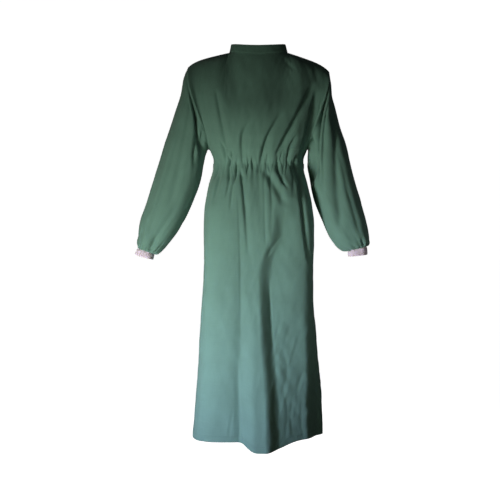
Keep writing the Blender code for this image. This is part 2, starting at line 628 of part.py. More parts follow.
def make_collar(material):
    """A band round the neckline whose ends stop short of each other at the centre back."""
    gap_turn = 0.03
    turn = np.linspace(-math.pi + gap_turn, math.pi - gap_turn, 2 * (NECK_COLUMNS + BACK_NECK_COLUMNS) + 1)
    rise = np.linspace(0, 1, 4)[:, None]
    grid = collar_ring(rise, turn[None, :] + 0 * rise)
    normals = grid_normals(grid, grid * (1.0, 1.0, 0.0))
    wall("collar", grid, normals, COLLAR_CLOTH, material)


def make_waist_tape(name, side, material):
    """From the side seam to the middle of the bow, on the back's own columns moved out by the cloth and a gap."""
    across = side * side_shares(BACK_NECK_COLUMNS)
    rows, normals = [], []
    for height in (WAIST - TAPE_ROW, WAIST + TAPE_ROW):
        level = np.full_like(across, (height - HEM) / (UNDERARM - HEM))
        rows.append(base_surface("back", across, level))
        normals.append(outward(base_surface, "back", across, level))
    normal = unit(normals[0] + normals[1])
    share = 0.5 + np.array([-0.5, 0.5])[:, None, None] * WAIST_TAPE_WIDTH / (2 * TAPE_ROW)
    grid = rows[0] * (1 - share) + rows[1] * share
    grid = grid + normal * (CLOTH / 2 + SEAM_GAP + TAPE / 2)
    grid = trim(grid, first_column=SEAM_GAP / 2, last_column=0.001)
    wall(name, grid, normal[None] + 0 * grid, TAPE, material)


def make_knot(name, centre, width, height, depth, material):
    """A small pillow with its edges taken off."""
    mesh = bpy.data.meshes.new(name)
    bm = bmesh.new()
    bmesh.ops.create_cube(bm, size=1.0)
    for vert in bm.verts:
        vert.co.x *= width
        vert.co.y *= depth
        vert.co.z *= height
    bmesh.ops.bevel(bm, geom=bm.edges[:], offset=depth * 0.14, segments=2, affect="EDGES")
    bmesh.ops.translate(bm, verts=bm.verts[:], vec=centre)
    bmesh.ops.triangulate(bm, faces=bm.faces[:])
    bm.to_mesh(mesh)
    bm.free()
    mesh.shade_smooth()
    mesh.set_sharp_from_angle(angle=math.radians(50))
    mesh.materials.append(material)
    knot = bpy.data.objects.new(name, mesh)
    bpy.context.scene.collection.objects.link(knot)


def back_point(x, z):
    """The point of the back with this x and z, and the normal there."""
    levels = np.linspace(0, 2, 401)
    across = np.array(x / 0.25)
    for _ in range(12):
        column = body_surface("back", across + 0 * levels, levels)
        level = np.interp(z, column[:, 2], levels)
        at = body_surface("back", across, np.array(level))
        across = across + (x - at[0]) / 0.25
    return at, outward(base_surface, "back", across, np.array(level))


def make_bow(bow, base_y, material):
    """A knot, two loops and two tails. base_y is the plane that the knot sits on."""
    knot_y = base_y + bow.knot_depth / 2
    size = (bow.knot_width, bow.knot_height, bow.knot_depth)
    make_knot(bow.name + "_knot", (0.0, knot_y, bow.height), *size, material)
    for side, word in ((1, "left"), (-1, "right")):
        turn = np.linspace(0, 2 * math.pi, 15)
        reach = (1 - np.cos(turn)) / 2
        x = side * (bow.knot_width / 2 + SEAM_GAP + bow.loop_reach * reach)
        z = bow.height - bow.loop_drop * reach**1.5
        y = base_y + LOOP_STAND + 1.3 * TAPE * np.cos(turn / 2) + LOOP_SPREAD * np.sin(turn) * (0.6 + 0.4 * reach)
        path = np.stack([x, y, z], axis=-1)
        up = np.stack([-side * 0.30 * reach, 0 * reach, 0 * reach + 1], axis=-1)
        normals = unit(np.cross(np.gradient(path, axis=0), up))
        offsets = np.array([-0.5, 0.5])[:, None, None] * bow.tape_width * 0.8
        grid = path[None] + offsets * up[None]
        wall(bow.name + "_loop_" + word, grid, normals[None] + 0 * grid, TAPE, material)
        make_tail(bow, side, word, material)


def make_tail(bow, side, word, material):
    """A tail starts just below the knot and lies down the back: points of the back moved out."""
    fall = np.linspace(0, 1, 10)
    lift = TAIL_LIFT + 0.0035 * (1 - smooth_step(0, 0.2, fall))
    width = bow.tape_width * (0.45 + 0.55 * smooth_step(0, 0.25, fall))
    z = bow.height - bow.knot_height / 2 - SEAM_GAP - bow.tail_length * fall
    rows, normals = [], []
    for edge in (-0.5, 0.5):
        x = side * (bow.knot_width * 0.32 + bow.tail_spread * fall**0.8) + edge * width
        points, outs = zip(*[back_point(*at) for at in zip(x, z)])
        rows.append(np.stack([x, np.array(points)[:, 1] + lift, z], axis=-1))
        normals.append(np.array(outs))
    normals = np.array(normals)
    normals[:, 0, 2] = 0
    wall(bow.name + "_tail_" + word, np.array(rows), unit(normals), TAPE, material)


def clear_scene():
    for thing in list(bpy.data.objects):
        bpy.data.objects.remove(thing, do_unlink=True)


def main():
    clear_scene()
    green = cloth_material("gown_cloth", GOWN_GREEN, 0.85)
    lilac = cloth_material("cuff_knit", CUFF_LILAC, 0.9)
    make_body(green)
    make_cuff("right", RIGHT_SLEEVE, RIGHT_CUFF_END, -1, lilac)
    make_cuff("left", LEFT_SLEEVE, LEFT_CUFF_END, 1, lilac)
    make_collar(green)
    make_waist_tape("waist_tape_left", 1, green)
    make_waist_tape("waist_tape_right", -1, green)
    waist_y = max(float(hoop("back", np.array(0.0), WAIST + rise)[1]) for rise in (-TAPE_ROW, TAPE_ROW))
    collar_y = float(collar_ring(np.array(0.2), np.array(math.pi))[1])
    make_bow(WAIST_BOW, waist_y + CLOTH / 2 + TAPE + 2 * SEAM_GAP, green)
    make_bow(NECK_BOW, collar_y + COLLAR_CLOTH / 2 + SEAM_GAP, green)


main()
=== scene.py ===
"""The looks of the surgical gown: cloth panels with folds, gathers and stitching, knit cuffs and tapes."""

import math
from collections import namedtuple

import bmesh
import bpy
import numpy as np
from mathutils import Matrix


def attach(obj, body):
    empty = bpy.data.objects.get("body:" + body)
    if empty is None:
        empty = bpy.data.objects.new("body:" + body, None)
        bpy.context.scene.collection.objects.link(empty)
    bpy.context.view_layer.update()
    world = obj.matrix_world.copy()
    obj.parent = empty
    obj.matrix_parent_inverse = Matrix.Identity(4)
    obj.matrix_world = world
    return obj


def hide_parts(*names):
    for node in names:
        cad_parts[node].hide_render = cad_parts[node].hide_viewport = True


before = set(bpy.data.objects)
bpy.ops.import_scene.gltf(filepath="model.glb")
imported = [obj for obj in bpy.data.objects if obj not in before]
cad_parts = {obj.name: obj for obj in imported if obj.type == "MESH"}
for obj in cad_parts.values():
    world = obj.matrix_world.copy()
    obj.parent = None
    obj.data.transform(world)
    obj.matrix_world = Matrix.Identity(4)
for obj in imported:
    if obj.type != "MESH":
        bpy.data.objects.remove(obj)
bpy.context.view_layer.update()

SIDES = ((1, "left"), (-1, "right"))
AWAY = {"front": -1.0, "back": 1.0}
NOT_LENGTHS = ("name", "power", "squareness")


def in_metres(kind, *rows):
    """Rows of a table with their lengths turned from millimetres into metres."""
    lengths = [field for field in kind._fields if field not in NOT_LENGTHS]
    table = [kind(*row) for row in rows]
    return [row._replace(**{field: getattr(row, field) / 1000 for field in lengths}) for row in table]


# Cloth. The thicknesses are the real ones, a little rounded up.
POPLIN = 0.0009
TURN_UP = 0.0022
KNIT = 0.0030
COLLAR_CLOTH = 0.0024
TAPE = 0.0009

# The body of the gown, as in the solids
HEM = -1.228
UNDERARM = -0.318
UNDERARM_HALF_WIDTH = 0.156
PANEL_HALF_WIDTH = 0.22
SHOULDER_X = 0.228
SHOULDER_SLOPE = {"left": 0.0448, "right": 0.0315}
SHOULDER_ROUNDING = 0.016
ARMHOLE_REACH = {"front": 0.082, "back": 0.076}
CHEST_FULLNESS = {"front": 0.016, "back": 0.010}
UNDERARM_SLOPE = {"front": 0.27, "back": 0.13}
UNDERARM_EASE = 0.030
NECK_HALF_WIDTH = 0.094
NECK_SHARE = 0.44
NECK_REACH = {"front": 0.066, "back": 0.058}
NECK_HEIGHT = {"front": -0.0150, "back": 0.006}
COLLAR_TOP_HALF_WIDTH = 0.0875
COLLAR_TOP_REACH = {"front": 0.060, "back": 0.054}
COLLAR_TOP_HEIGHT = {"front": 0.0172, "side": 0.0268, "back": 0.0340}
LAP_SHARE = 0.1257
LAP_STEP = 0.0028
LAP_FADE = (0.16, 0.42)
FACING_WIDTH = 0.018
WAIST = -0.368
CHANNEL_TOP = -0.352
CHANNEL_FOOT = -0.385
GATHERS = 15
PUCKERS = 30
GATHER_DEPTH = 0.0036
GATHER_HALF_WIDTH = 0.0062
GATHERED_HALF_WIDTH = 0.138
PUCKERED_HALF_WIDTH = 0.140
FOLD_TIP = 0.030
HEM_DEPTH = 0.019
CRUSHED_HEIGHT = -1.06

# Layers of small crumples. lean tilts them, wide and tall are their size, and u and v are where in the noise
# each layer starts. The crushed ones are in the lower skirt alone.
Crumple = namedtuple("Crumple", "depth lean wide tall u v crushed")
CRUMPLES = (
    Crumple(0.0016, 0.0, 0.040, 0.150, 9, 20, False),
    Crumple(0.0009, 0.20, 0.016, 0.055, 30, 40, False),
    Crumple(0.0006, -0.25, 0.010, 0.034, 50, 30, False),
    Crumple(0.0011, 0.35, 0.013, 0.042, 70, 60, True),
    Crumple(0.00066, -0.30, 0.008, 0.026, 90, 70, True),
)

Section = namedtuple("Section", "name height half_width centre front back squareness")
SECTIONS = in_metres(
    Section,
    ("hem", -1228, 208, -2.2, 158, 190, 4.6),
    ("calf", -1150, 204, 0, 160, 184, 4.6),
    ("shin", -1064, 198.5, 0, 158, 180, 4.7),
    ("knee", -990, 191.2, 0, 156, 176, 5.2),
    ("low_thigh", -890, 184.5, -1, 153, 172, 5.6),
    ("thigh", -800, 177.5, -3, 150, 169, 6.0),
    ("hip", -700, 174.2, -0.6, 146, 164, 5.8),
    ("upper_hip", -600, 175.8, 0.4, 142, 160, 5.0),
    ("high_hip", -498, 172.5, 0, 134, 148, 4.2),
    ("gather_foot", -428, 160, -0.8, 121, 124, 3.0),
    ("waist", -368, 145.8, 0, 108, 102, 2.5),
    ("blouse", -343, 146.5, 0, 123, 112, 2.3),
    ("underarm", -318, 156, 0, 134, 118, 2.3),
    ("chest", -290, 160, 0, 138, 119, 2.3),
)

# A fold is a soft trough (positive depth) or ridge (negative depth) that runs mostly down the cloth. x is how
# far across it lies, left and right are half-widths towards -X and +X, and a higher power flattens its top.
Fold = namedtuple(
    "Fold",
    "name top_z top_x middle_z middle_x bottom_z bottom_x left right top middle bottom power",
    defaults=(2,),
)
FRONT_FOLDS = in_metres(
    Fold,
    ("arm_drag_right", -120, -138, -234, -119, -341, -102, 6, 10, 2, 8, 7),
    ("chest_crease", -218, -20, -283, -55, -380, -51, 4.5, 10, 2, 9, 8),
    ("chest_slant", -195, 76, -289, 24, -398, -1, 5.5, 11, 2, 11, 8),
    ("long_slant", -100, 176, -240, 106, -350, 49, 7, 13, 5, 13, 9),
    ("short_slant", -262, 126, -315, 98, -392, 92, 5, 8, 2, 8, 6),
    ("side_slant", -120, 186, -250, 158, -362, 128, 8, 10, 3, 12, 10),
    ("left_pleat", -376, -57, -487, -45, -660, -32, 4.5, 11, 8, 7, 1),
    ("panel_line", -560, -54, -900, -57, -1400, -62, 16, 24, 2, 3.5, 5),
    ("waist_slant", -372, 14, -432, 52, -505, 88, 16, 15, 6, 10, 4),
    ("right_line", -376, 124, -526, 139, -680, 158, 6, 8, 8, 12, 4),
    ("hem_lobe", -760, -6, -1000, -4, -1400, 0, 40, 105, 0, -16, -70, 3),
)
BACK_FOLDS = in_metres(
    Fold,
    ("back_drag_left", -110, 150, -240, 125, -345, 100, 12, 12, 3, 7, 6),
    ("back_drag_right", -120, -145, -230, -118, -345, -85, 12, 12, 2, 8, 7),
    ("blade_left", -200, 70, -290, 62, -375, 55, 10, 12, 2, 6, 7),
    ("blade_right", -220, -55, -300, -50, -375, -46, 10, 10, 1, 6, 7),
    ("skirt_valley_left", -385, 85, -760, 105, -1400, 115, 20, 24, 6, 20, 26),
    ("skirt_ridge_left", -420, 45, -800, 60, -1400, 62, 30, 34, -4, -14, -24),
    ("skirt_valley_right", -385, -75, -700, -98, -1400, -108, 20, 20, 6, 18, 24),
    ("skirt_ridge_right", -430, -40, -820, -58, -1400, -56, 30, 34, -3, -12, -22),
    ("side_pleat_left", -380, 125, -560, 146, -800, 150, 10, 12, 6, 9, 3),
    ("side_pleat_right", -380, -120, -600, -145, -860, -150, 10, 12, 6, 8, 2),
)

# Small creases on top of those folds
FRONT_CREASES = in_metres(
    Fold,
    ("edge_gather", -315, -138, -368, -134, -425, -142, 3, 5, 1, 6.8, 2),
    ("left_gather", -278, -126, -327, -112, -370, -105, 3, 5, 1, 8.4, 3),
    ("left_twist", -310, -86, -348, -88, -378, -104, 3, 4, 1, 8.4, 3),
    ("left_hook", -322, -102, -362, -94, -425, -97, 3, 4, 1, 6.8, 2),
    ("inner_gather", -345, -74, -388, -71, -440, -81, 3, 4, 1, 6.8, 1),
    ("middle_gather", -330, -36, -370, -34, -410, -38, 3, 4, 1, 5.1, 1),
    ("middle_line", -332, -22, -362, -21, -396, -18, 3, 4, 1, 8.4, 2),
    ("centre_gather", -325, 28, -360, 26, -395, 36, 3, 4, 1, 5.1, 1),
    ("slant_end", -325, 60, -375, 60, -450, 94, 5, 6, 3, 10.4, 3),
    ("right_gather", -318, 77, -352, 70, -380, 77, 3, 4, 1, 6.8, 1),
    ("right_tuck", -338, 106, -366, 107, -398, 103, 3, 5, 1, 6.8, 1),
    ("edge_tuck", -320, 124, -362, 117, -420, 128, 4, 5, 3, 11.8, 4),
    ("fan_left", -378, -118, -440, -134, -505, -146, 3, 7, 3, 5.2, 1),
    ("fan_middle", -376, -93, -415, -94, -480, -106, 3, 6, 3, 5.2, 1),
    ("fan_right", -385, -77, -446, -84, -520, -92, 3, 6, 2, 3.9, 1),
    ("panel_crease", -450, -67, -640, -59, -920, -57, 3, 8, 1, 2, 0.8),
    ("flank_edge", -390, 17, -500, 18, -620, 22, 5, 4, 1, 2, 1),
    ("flank_fold", -400, 30, -480, 41, -600, 36, 6, 7, 1, 3, 1),
    ("jog", -580, 78, -622, 44, -668, 12, 5, 5, 2, 5, 2),
    ("valley_line", -700, 31, -830, 36, -960, 44, 6, 4, 1, 3, 1),
    ("crumple_a", -835, 74, -885, 58, -940, 46, 6, 6, 0.3, 1.3, 0.5),
    ("crumple_b", -850, 105, -911, 84, -975, 61, 6, 7, 0.3, 1.5, 0.5),
    ("crumple_c", -880, 133, -949, 111, -1015, 90, 5, 7, 0.3, 1.3, 0.5),
    ("crumple_d", -925, 72, -1010, 88, -1095, 64, 7, 6, 0.3, 1.7, 0.5),
    ("crumple_e", -990, 148, -1054, 125, -1115, 112, 5, 6, 0.3, 1.5, 0.5),
    ("crumple_f", -1030, 53, -1103, 44, -1185, 60, 6, 6, 0.3, 2.1, 0.5),
    ("crumple_g", -1055, 74, -1134, 88, -1215, 80, 6, 6, 0.3, 1.7, 0.5),
    ("crumple_h", -1065, 116, -1143, 97, -1240, 110, 5, 6, 0.3, 1.7, 0.5),
    ("crumple_i", -1085, 137, -1160, 131, -1240, 143, 5, 5, 0.3, 1.3, 0.5),
    ("crumple_j", -1090, 32, -1150, 25, -1240, 32, 5, 6, 0.3, 1, 0.5),
    ("lobe_foot", -960, -66, -1100, -60, -1330, -38, 14, 4, 1, 3.5, 5),
    ("lobe_ray", -1120, -78, -1160, -86, -1225, -94, 5, 4, 1, 2, 1),
    ("flank_foot", -940, 50, -1110, 56, -1330, 58, 18, 14, 1, 2, 3),
    ("neck_fold", -20, 80, -50, 100, -80, 128, 7, 6, 1, 3, 1),
)
BACK_CREASES = in_metres(
    Fold,
    ("gather_a", -300, 112, -362, 104, -440, 116, 3, 5, 1, 6.5, 2),
    ("gather_b", -325, 82, -366, 86, -430, 80, 3, 5, 1, 5.2, 1),
    ("gather_c", -310, 34, -360, 30, -450, 38, 3, 5, 1, 6.5, 2),
    ("gather_d", -320, -26, -365, -22, -425, -28, 3, 4, 1, 5.2, 2),
    ("gather_e", -305, -66, -360, -60, -455, -70, 3, 5, 1, 6.5, 2),
    ("gather_f", -322, -100, -370, -104, -430, -98, 3, 5, 1, 5.2, 1),
    ("gather_g", -310, -122, -366, -126, -440, -136, 3, 5, 1, 5.2, 1),
    ("low_left_a", -880, 128, -960, 112, -1040, 92, 6, 7, 0.3, 1.5, 0.5),
    ("low_left_b", -990, 66, -1060, 82, -1150, 74, 6, 7, 0.3, 1.7, 0.5),
    ("low_left_c", -1080, 142, -1150, 126, -1240, 136, 6, 6, 0.3, 1.5, 0.5),
    ("low_right_a", -860, -86, -940, -102, -1030, -122, 7, 6, 0.3, 1.5, 0.5),
    ("low_right_b", -1000, -132, -1080, -120, -1160, -134, 6, 6, 0.3, 1.5, 0.5),
    ("low_right_c", -1070, -52, -1150, -64, -1240, -56, 6, 7, 0.3, 1.7, 0.5),
    ("yoke_left", -40, 90, -90, 112, -150, 120, 7, 8, 1, 3, 1),
    ("yoke_right", -50, -96, -110, -110, -170, -116, 8, 7, 1, 3, 1),
)

# A step is a soft edge that runs down the front, where the cloth to its +X side lies further back. path gives
# its middle and depth how far back, each at some heights.
Step = namedtuple("Step", "name width path depth")
FRONT_STEPS = (
    Step(
        "main_flank",
        0.044,
        (
            *((-1.228, 0.042), (-1.130, 0.041), (-1.000, 0.031), (-0.900, 0.024), (-0.770, 0.020)),
            *((-0.685, 0.021), (-0.645, 0.033), (-0.605, 0.050), (-0.560, 0.057), (-0.490, 0.064)),
        ),
        ((-1.228, 0.026), (-1.000, 0.027), (-0.770, 0.025), (-0.655, 0.022), (-0.560, 0.016), (-0.470, 0.0)),
    ),
    Step(
        "right_panel",
        0.140,
        ((-1.228, 0.092), (-0.500, 0.100)),
        ((-1.228, 0.014), (-1.000, 0.011), (-0.770, 0.006), (-0.600, 0.0)),
    ),
    Step(
        "right_corner",
        0.042,
        ((-1.228, 0.169), (-1.110, 0.165), (-1.000, 0.166), (-0.900, 0.162), (-0.700, 0.160)),
        ((-1.228, 0.030), (-1.000, 0.020), (-0.800, 0.005), (-0.700, 0.0)),
    ),
)
STEP_FADE = (0.60, 0.97)

# The hem hangs lower round DROOP_X, over these half-widths towards -X and +X, and the droop fades out above.
HEM_DROOP = 0.022
DROOP_X = 0.004
DROOP_HALF_WIDTHS = (0.044, 0.084)
DROOP_RISE = 0.25

# Sleeve rings run from the armhole to the cuff. out and in are the outer and inner edges seen from the front.
# The last one is the cuff's end.
Ring = namedtuple("Ring", "name out_x out_z in_x in_z centre_y half_depth")
*RIGHT_SLEEVE, RIGHT_CUFF_END = in_metres(
    Ring,
    ("armhole", 228, -47.5, 156, -318, -3, 79),
    ("cap", 241.5, -84, 161.5, -313, -4, 80),
    ("under_cap", 250, -132, 166.5, -319, -5, 80),
    ("upper_arm", 267, -185, 171, -335, -7, 79),
    ("mid_arm", 288, -250, 179, -364, -10, 76),
    ("above_elbow", 308, -318, 186.5, -406, -14, 73),
    ("elbow", 334, -400, 202.5, -464, -20, 70),
    ("forearm", 357, -480, 227, -520, -29, 66),
    ("low_forearm", 375.5, -537, 256.5, -572, -37, 60),
    ("bag_top", 385, -587, 283, -611, -43, 53),
    ("bag_foot", 389, -616, 306, -639, -47, 44),
    ("bag_turn", 388, -629, 325, -650.5, -49, 34),
    ("wrist", 385, -632, 335, -648, -49, 27),
    ("cuff_end", 393.5, -652, 338.5, -668, -52, 27.5),
)
*LEFT_SLEEVE, LEFT_CUFF_END = in_metres(
    Ring,
    ("armhole", 228, -60.8, 156, -318, -3, 79),
    ("cap", 235.5, -101, 161.5, -314.5, -4, 80),
    ("under_cap", 240, -150, 162.5, -325, -5, 80),
    ("upper_arm", 251, -196, 159, -346, -7, 79),
    ("mid_arm", 268, -255, 160, -376, -10, 76),
    ("above_elbow", 285.5, -318, 166, -420, -14, 73),
    ("elbow", 306.5, -400, 176.5, -470, -20, 70),
    ("forearm", 328, -480, 196.5, -524, -29, 66),
    ("low_forearm", 343, -537, 216.5, -575, -37, 60),
    ("bag_top", 353, -583, 240, -614, -43, 53),
    ("bag_foot", 356, -608, 263, -636.5, -47, 44),
    ("bag_turn", 352, -622, 280, -642, -49, 34),
    ("wrist", 344, -626, 288, -637, -49, 27),
    ("cuff_end", 345.5, -652, 287, -658, -52, 27.5),
)

# Folds of a sleeve. start and end count rings from the armhole, and turns are in degrees round the sleeve:
# 0 is the outer edge, 90 the front, 180 the inner edge, 270 the back.
ArmFold = namedtuple("ArmFold", "name start start_turn end end_turn half_turn depth")
RIGHT_SLEEVE_FOLDS = (
    ArmFold("seam_valley", -0.2, 72, 3.6, 148, 16, 0.016),
    ArmFold("armpit_drag", 0.8, 78, 2.8, 156, 9, 0.013),
    ArmFold("armhole_drag", 0.3, 98, 4.6, 126, 7, 0.011),
    ArmFold("underarm_drag", 0.6, 126, 4.2, 152, 7, 0.013),
    ArmFold("upper_line", 1.0, 72, 7.0, 96, 10, 0.004),
    ArmFold("front_line", 3.0, 64, 9.0, 70, 10, 0.004),
    ArmFold("outer_line", 4.5, 36, 9.6, 44, 9, 0.003),
    ArmFold("wrist_crease", 8.6, 96, 12.0, 104, 9, 0.007),
    ArmFold("low_line", 6.4, 118, 10.4, 92, 9, 0.004),
    ArmFold("back_drag", 0.8, 250, 5.5, 226, 10, 0.008),
    ArmFold("back_line", 3.5, 292, 9.0, 284, 12, 0.005),
)
LEFT_SLEEVE_FOLDS = (
    ArmFold("seam_valley", -0.2, 80, 5.2, 158, 20, 0.022),
    ArmFold("armhole_drag", 0.3, 100, 5.4, 132, 7, 0.015),
    ArmFold("underarm_drag", 0.3, 136, 4.6, 156, 7, 0.013),
    ArmFold("front_valley", 2.2, 32, 8.2, 114, 12, 0.009),
    ArmFold("front_line", 1.4, 66, 6.0, 126, 8, 0.008),
    ArmFold("outer_line", 2.0, 46, 9.0, 66, 8, 0.004),
    ArmFold("wrist_crease", 9.0, 62, 12.0, 66, 8, 0.007),
    ArmFold("back_drag", 0.8, 254, 5.5, 230, 10, 0.008),
    ArmFold("back_line", 3.0, 300, 9.0, 288, 12, 0.006),
)
Arm = namedtuple("Arm", "side word rings folds cuff_end seed")
ARMS = (
    Arm(1, "left", LEFT_SLEEVE, LEFT_SLEEVE_FOLDS, LEFT_CUFF_END, 5),
    Arm(-1, "right", RIGHT_SLEEVE, RIGHT_SLEEVE_FOLDS, RIGHT_CUFF_END, 7),
)
SLEEVE_SQUARENESS = 0.10
WRIST_GATHERS = 17
WRIST_GATHER_DEPTH = 0.0030

Bow = namedtuple(
    "Bow",
    "name height loop_reach loop_drop tail_spread tail_length knot_width knot_height knot_depth tape_width",
)
WAIST_TAPE_WIDTH = 0.016
WAIST_BOW = Bow("waist_bow", WAIST, 0.074, 0.030, 0.030, 0.200, 0.022, 0.019, 0.014, 0.015)
NECK_BOW = Bow("neck_bow", 0.020, 0.042, 0.016, 0.018, 0.085, 0.014, 0.013, 0.010, 0.010)
TAIL_LIFT = 0.0036
TAPE_LIFT = 0.0019
BOW_LIFT = 0.0024
GAP = 0.0003
SEAM_SHARE = 0.985

# What shows of each piece's cut: its greatest width and length, and the share of their product that it fills.
# Braces stand for the side, left and right in turn.
Cut = namedtuple("Cut", "name width length share held on")

# Mesh density
SKIRT_SPACING = 0.0066
WAIST_SPACING = 0.0028
CLOSE_ROWS_FOOT = -0.470
BODICE_ROWS = 58
FRONT_NECK_COLUMNS = 41
FRONT_SHOULDER_COLUMNS = 62
BACK_NECK_COLUMNS = 28
BACK_SHOULDER_COLUMNS = 44
SLEEVE_COLUMNS = 112
SLEEVE_ROWS = 168
CUFF_RIBS = 58
COLUMNS_PER_RIB = 6
LAP_COLUMNS = 8

# Machine stitches
STITCH_PITCH = 0.0030
STITCH_LENGTH = 0.0021
THREAD_RADIUS = 0.00028
STITCH_DIP = 0.0005
STITCH_DIP_WIDTH = 0.0014

# Camera, from the photograph: the height and side that its frame is centred on, and metres across the frame
CAMERA_DISTANCE = 3.2
CAMERA_HEIGHT = -0.485
FRAME_CENTRE = (-0.0276, -0.640)
FRAME_METRES = 1.625
SENSOR_MM = 36.0

# Studio. The gown hangs this far above the floor. The light comes from low on the left, as the shading shows,
# and one lamp behind lets the back be seen.
FLOOR_DROP = 0.10
WORLD_COLOUR = (1.0, 0.98, 0.90, 1.0)
WORLD_LIGHT = 0.026
Lamp = namedtuple("Lamp", "name place aim size watts cone colour")
LAMPS = (
    Lamp("key", (-1.43, -1.60, -1.29), (-0.150, -0.12, -0.770), 0.60, 208.0, 38, (1.0, 0.985, 0.88)),
    Lamp("low_key", (-1.42, -1.60, -1.28), (-0.06, -0.12, -1.18), 0.64, 92.0, 36, (0.98, 1.0, 1.86)),
    Lamp("bounce", (-0.80, -1.30, -1.10), (-0.04, -0.15, -0.75), 0.90, 16.0, 100, (1.0, 1.0, 0.62)),
    Lamp("side_fill", (1.75, -1.60, -0.90), (0.14, -0.05, -0.72), 0.70, 28.0, 28, (1.0, 0.98, 0.90)),
    Lamp("sleeve_fill", (0.70, -2.40, -0.60), (-0.25, -0.05, -0.46), 0.40, 22.0, 13, (1.0, 0.98, 0.88)),
    Lamp("back", (-0.45, 2.30, 0.25), (0.0, 0.10, -0.66), 0.45, 150.0, 66, (1.0, 0.99, 0.93)),
)

# Half the repeat of the weave, and the size of a loop of the knit
WEAVE = 0.00042
LOOP_WIDTH = 0.0016
LOOP_LENGTH = 0.0019
GOWN_GREEN = (0.105, 0.215, 0.180, 1.0)
CUFF_LILAC = (0.69, 0.59, 0.71, 1.0)
THREAD_GREEN = (0.13, 0.25, 0.21, 1.0)
SHARP_DEGREES = 60


def smooth_curve(knots, values, at):
    """A cubic through the knots whose slopes never overshoot them, held level outside their range."""
    knots = np.asarray(knots, float)
    values = np.asarray(values, float)
    at = np.clip(at, knots[0], knots[-1])
    rise = np.diff(values) / np.diff(knots)
    slope = np.concatenate([rise[:1], (rise[:-1] + rise[1:]) / 2, rise[-1:]])
    slope[1:-1][rise[:-1] * rise[1:] <= 0] = 0.0
    index = np.clip(np.searchsorted(knots, at, side="right") - 1, 0, len(knots) - 2)
    span = knots[index + 1] - knots[index]
    t = (at - knots[index]) / span
    return (
        (2 * t**3 - 3 * t**2 + 1) * values[index]
        + (t**3 - 2 * t**2 + t) * span * slope[index]
        + (3 * t**2 - 2 * t**3) * values[index + 1]
        + (t**3 - t**2) * span * slope[index + 1]
    )


def smooth_step(low, high, value):
    t = np.clip((value - low) / (high - low), 0.0, 1.0)
    return t * t * (3 - 2 * t)


def bell(offset, width, power=2):
    return np.exp(-(np.abs(offset / width) ** power))


def edge_rounding(share, least):
    """How thick a wall is near a rounded edge. share is 0 where the rounding starts and 1 at the edge."""
    return np.sqrt(np.clip(1 - np.clip(share, 0, 1) ** 2, least, 1))


def unit(vectors):
    return vectors / np.linalg.norm(vectors, axis=-1, keepdims=True)


def soft_noise(u, v, seed):
    """Smooth noise from -1 to 1 with one lump to each unit of u and v."""
    lattice = np.random.default_rng(seed).uniform(-1, 1, (64, 64))
    column = np.floor(u).astype(int)
    row = np.floor(v).astype(int)
    s = u - column
    t = v - row
    s = s * s * s * (s * (6 * s - 15) + 10)
    t = t * t * t * (t * (6 * t - 15) + 10)
    low = lattice[row % 64, column % 64] * (1 - s) + lattice[row % 64, (column + 1) % 64] * s
    high = lattice[(row + 1) % 64, column % 64] * (1 - s) + lattice[(row + 1) % 64, (column + 1) % 64] * s
    return low * (1 - t) + high * t


def level_at(height):
    """The level of a height below the underarm: 0 at the hem and 1 at the underarm."""
    return (height - HEM) / (UNDERARM - HEM)


def hoop(face, across, height):
    """A point of the plain body tube: across is -1 to 1 from side seam to side seam of that face."""
    angle = across * math.pi / 2
    heights = [section.height for section in SECTIONS]
    half_width, reach, power, centre = (
        smooth_curve(heights, [getattr(section, column) for section in SECTIONS], height)
        for column in ("half_width", face, "squareness", "centre")
    )
    radius = (np.abs(np.cos(angle) / reach) ** power + np.abs(np.sin(angle) / half_width) ** power) ** (
        -1 / power
    )
    return centre + radius * np.sin(angle), AWAY[face] * radius * np.cos(angle)


def top_edge(face, across):
    """The neckline in the middle and the shoulder seams on both sides of it."""
    share = np.abs(across)
    neck_turn = np.clip(share / NECK_SHARE, 0, 1) * math.pi / 2
    shoulder = np.clip((share - NECK_SHARE) / (1 - NECK_SHARE), 0, 1)
    x = NECK_HALF_WIDTH * np.sin(neck_turn) + (SHOULDER_X - NECK_HALF_WIDTH) * shoulder
    y = AWAY[face] * NECK_REACH[face] * np.cos(neck_turn)
    z = NECK_HEIGHT[face] * np.cos(neck_turn) ** 2
    slope = np.where(across > 0, SHOULDER_SLOPE["left"], SHOULDER_SLOPE["right"])
    z = z - slope * shoulder - SHOULDER_ROUNDING * shoulder**6
    return np.sign(across) * x, y, z


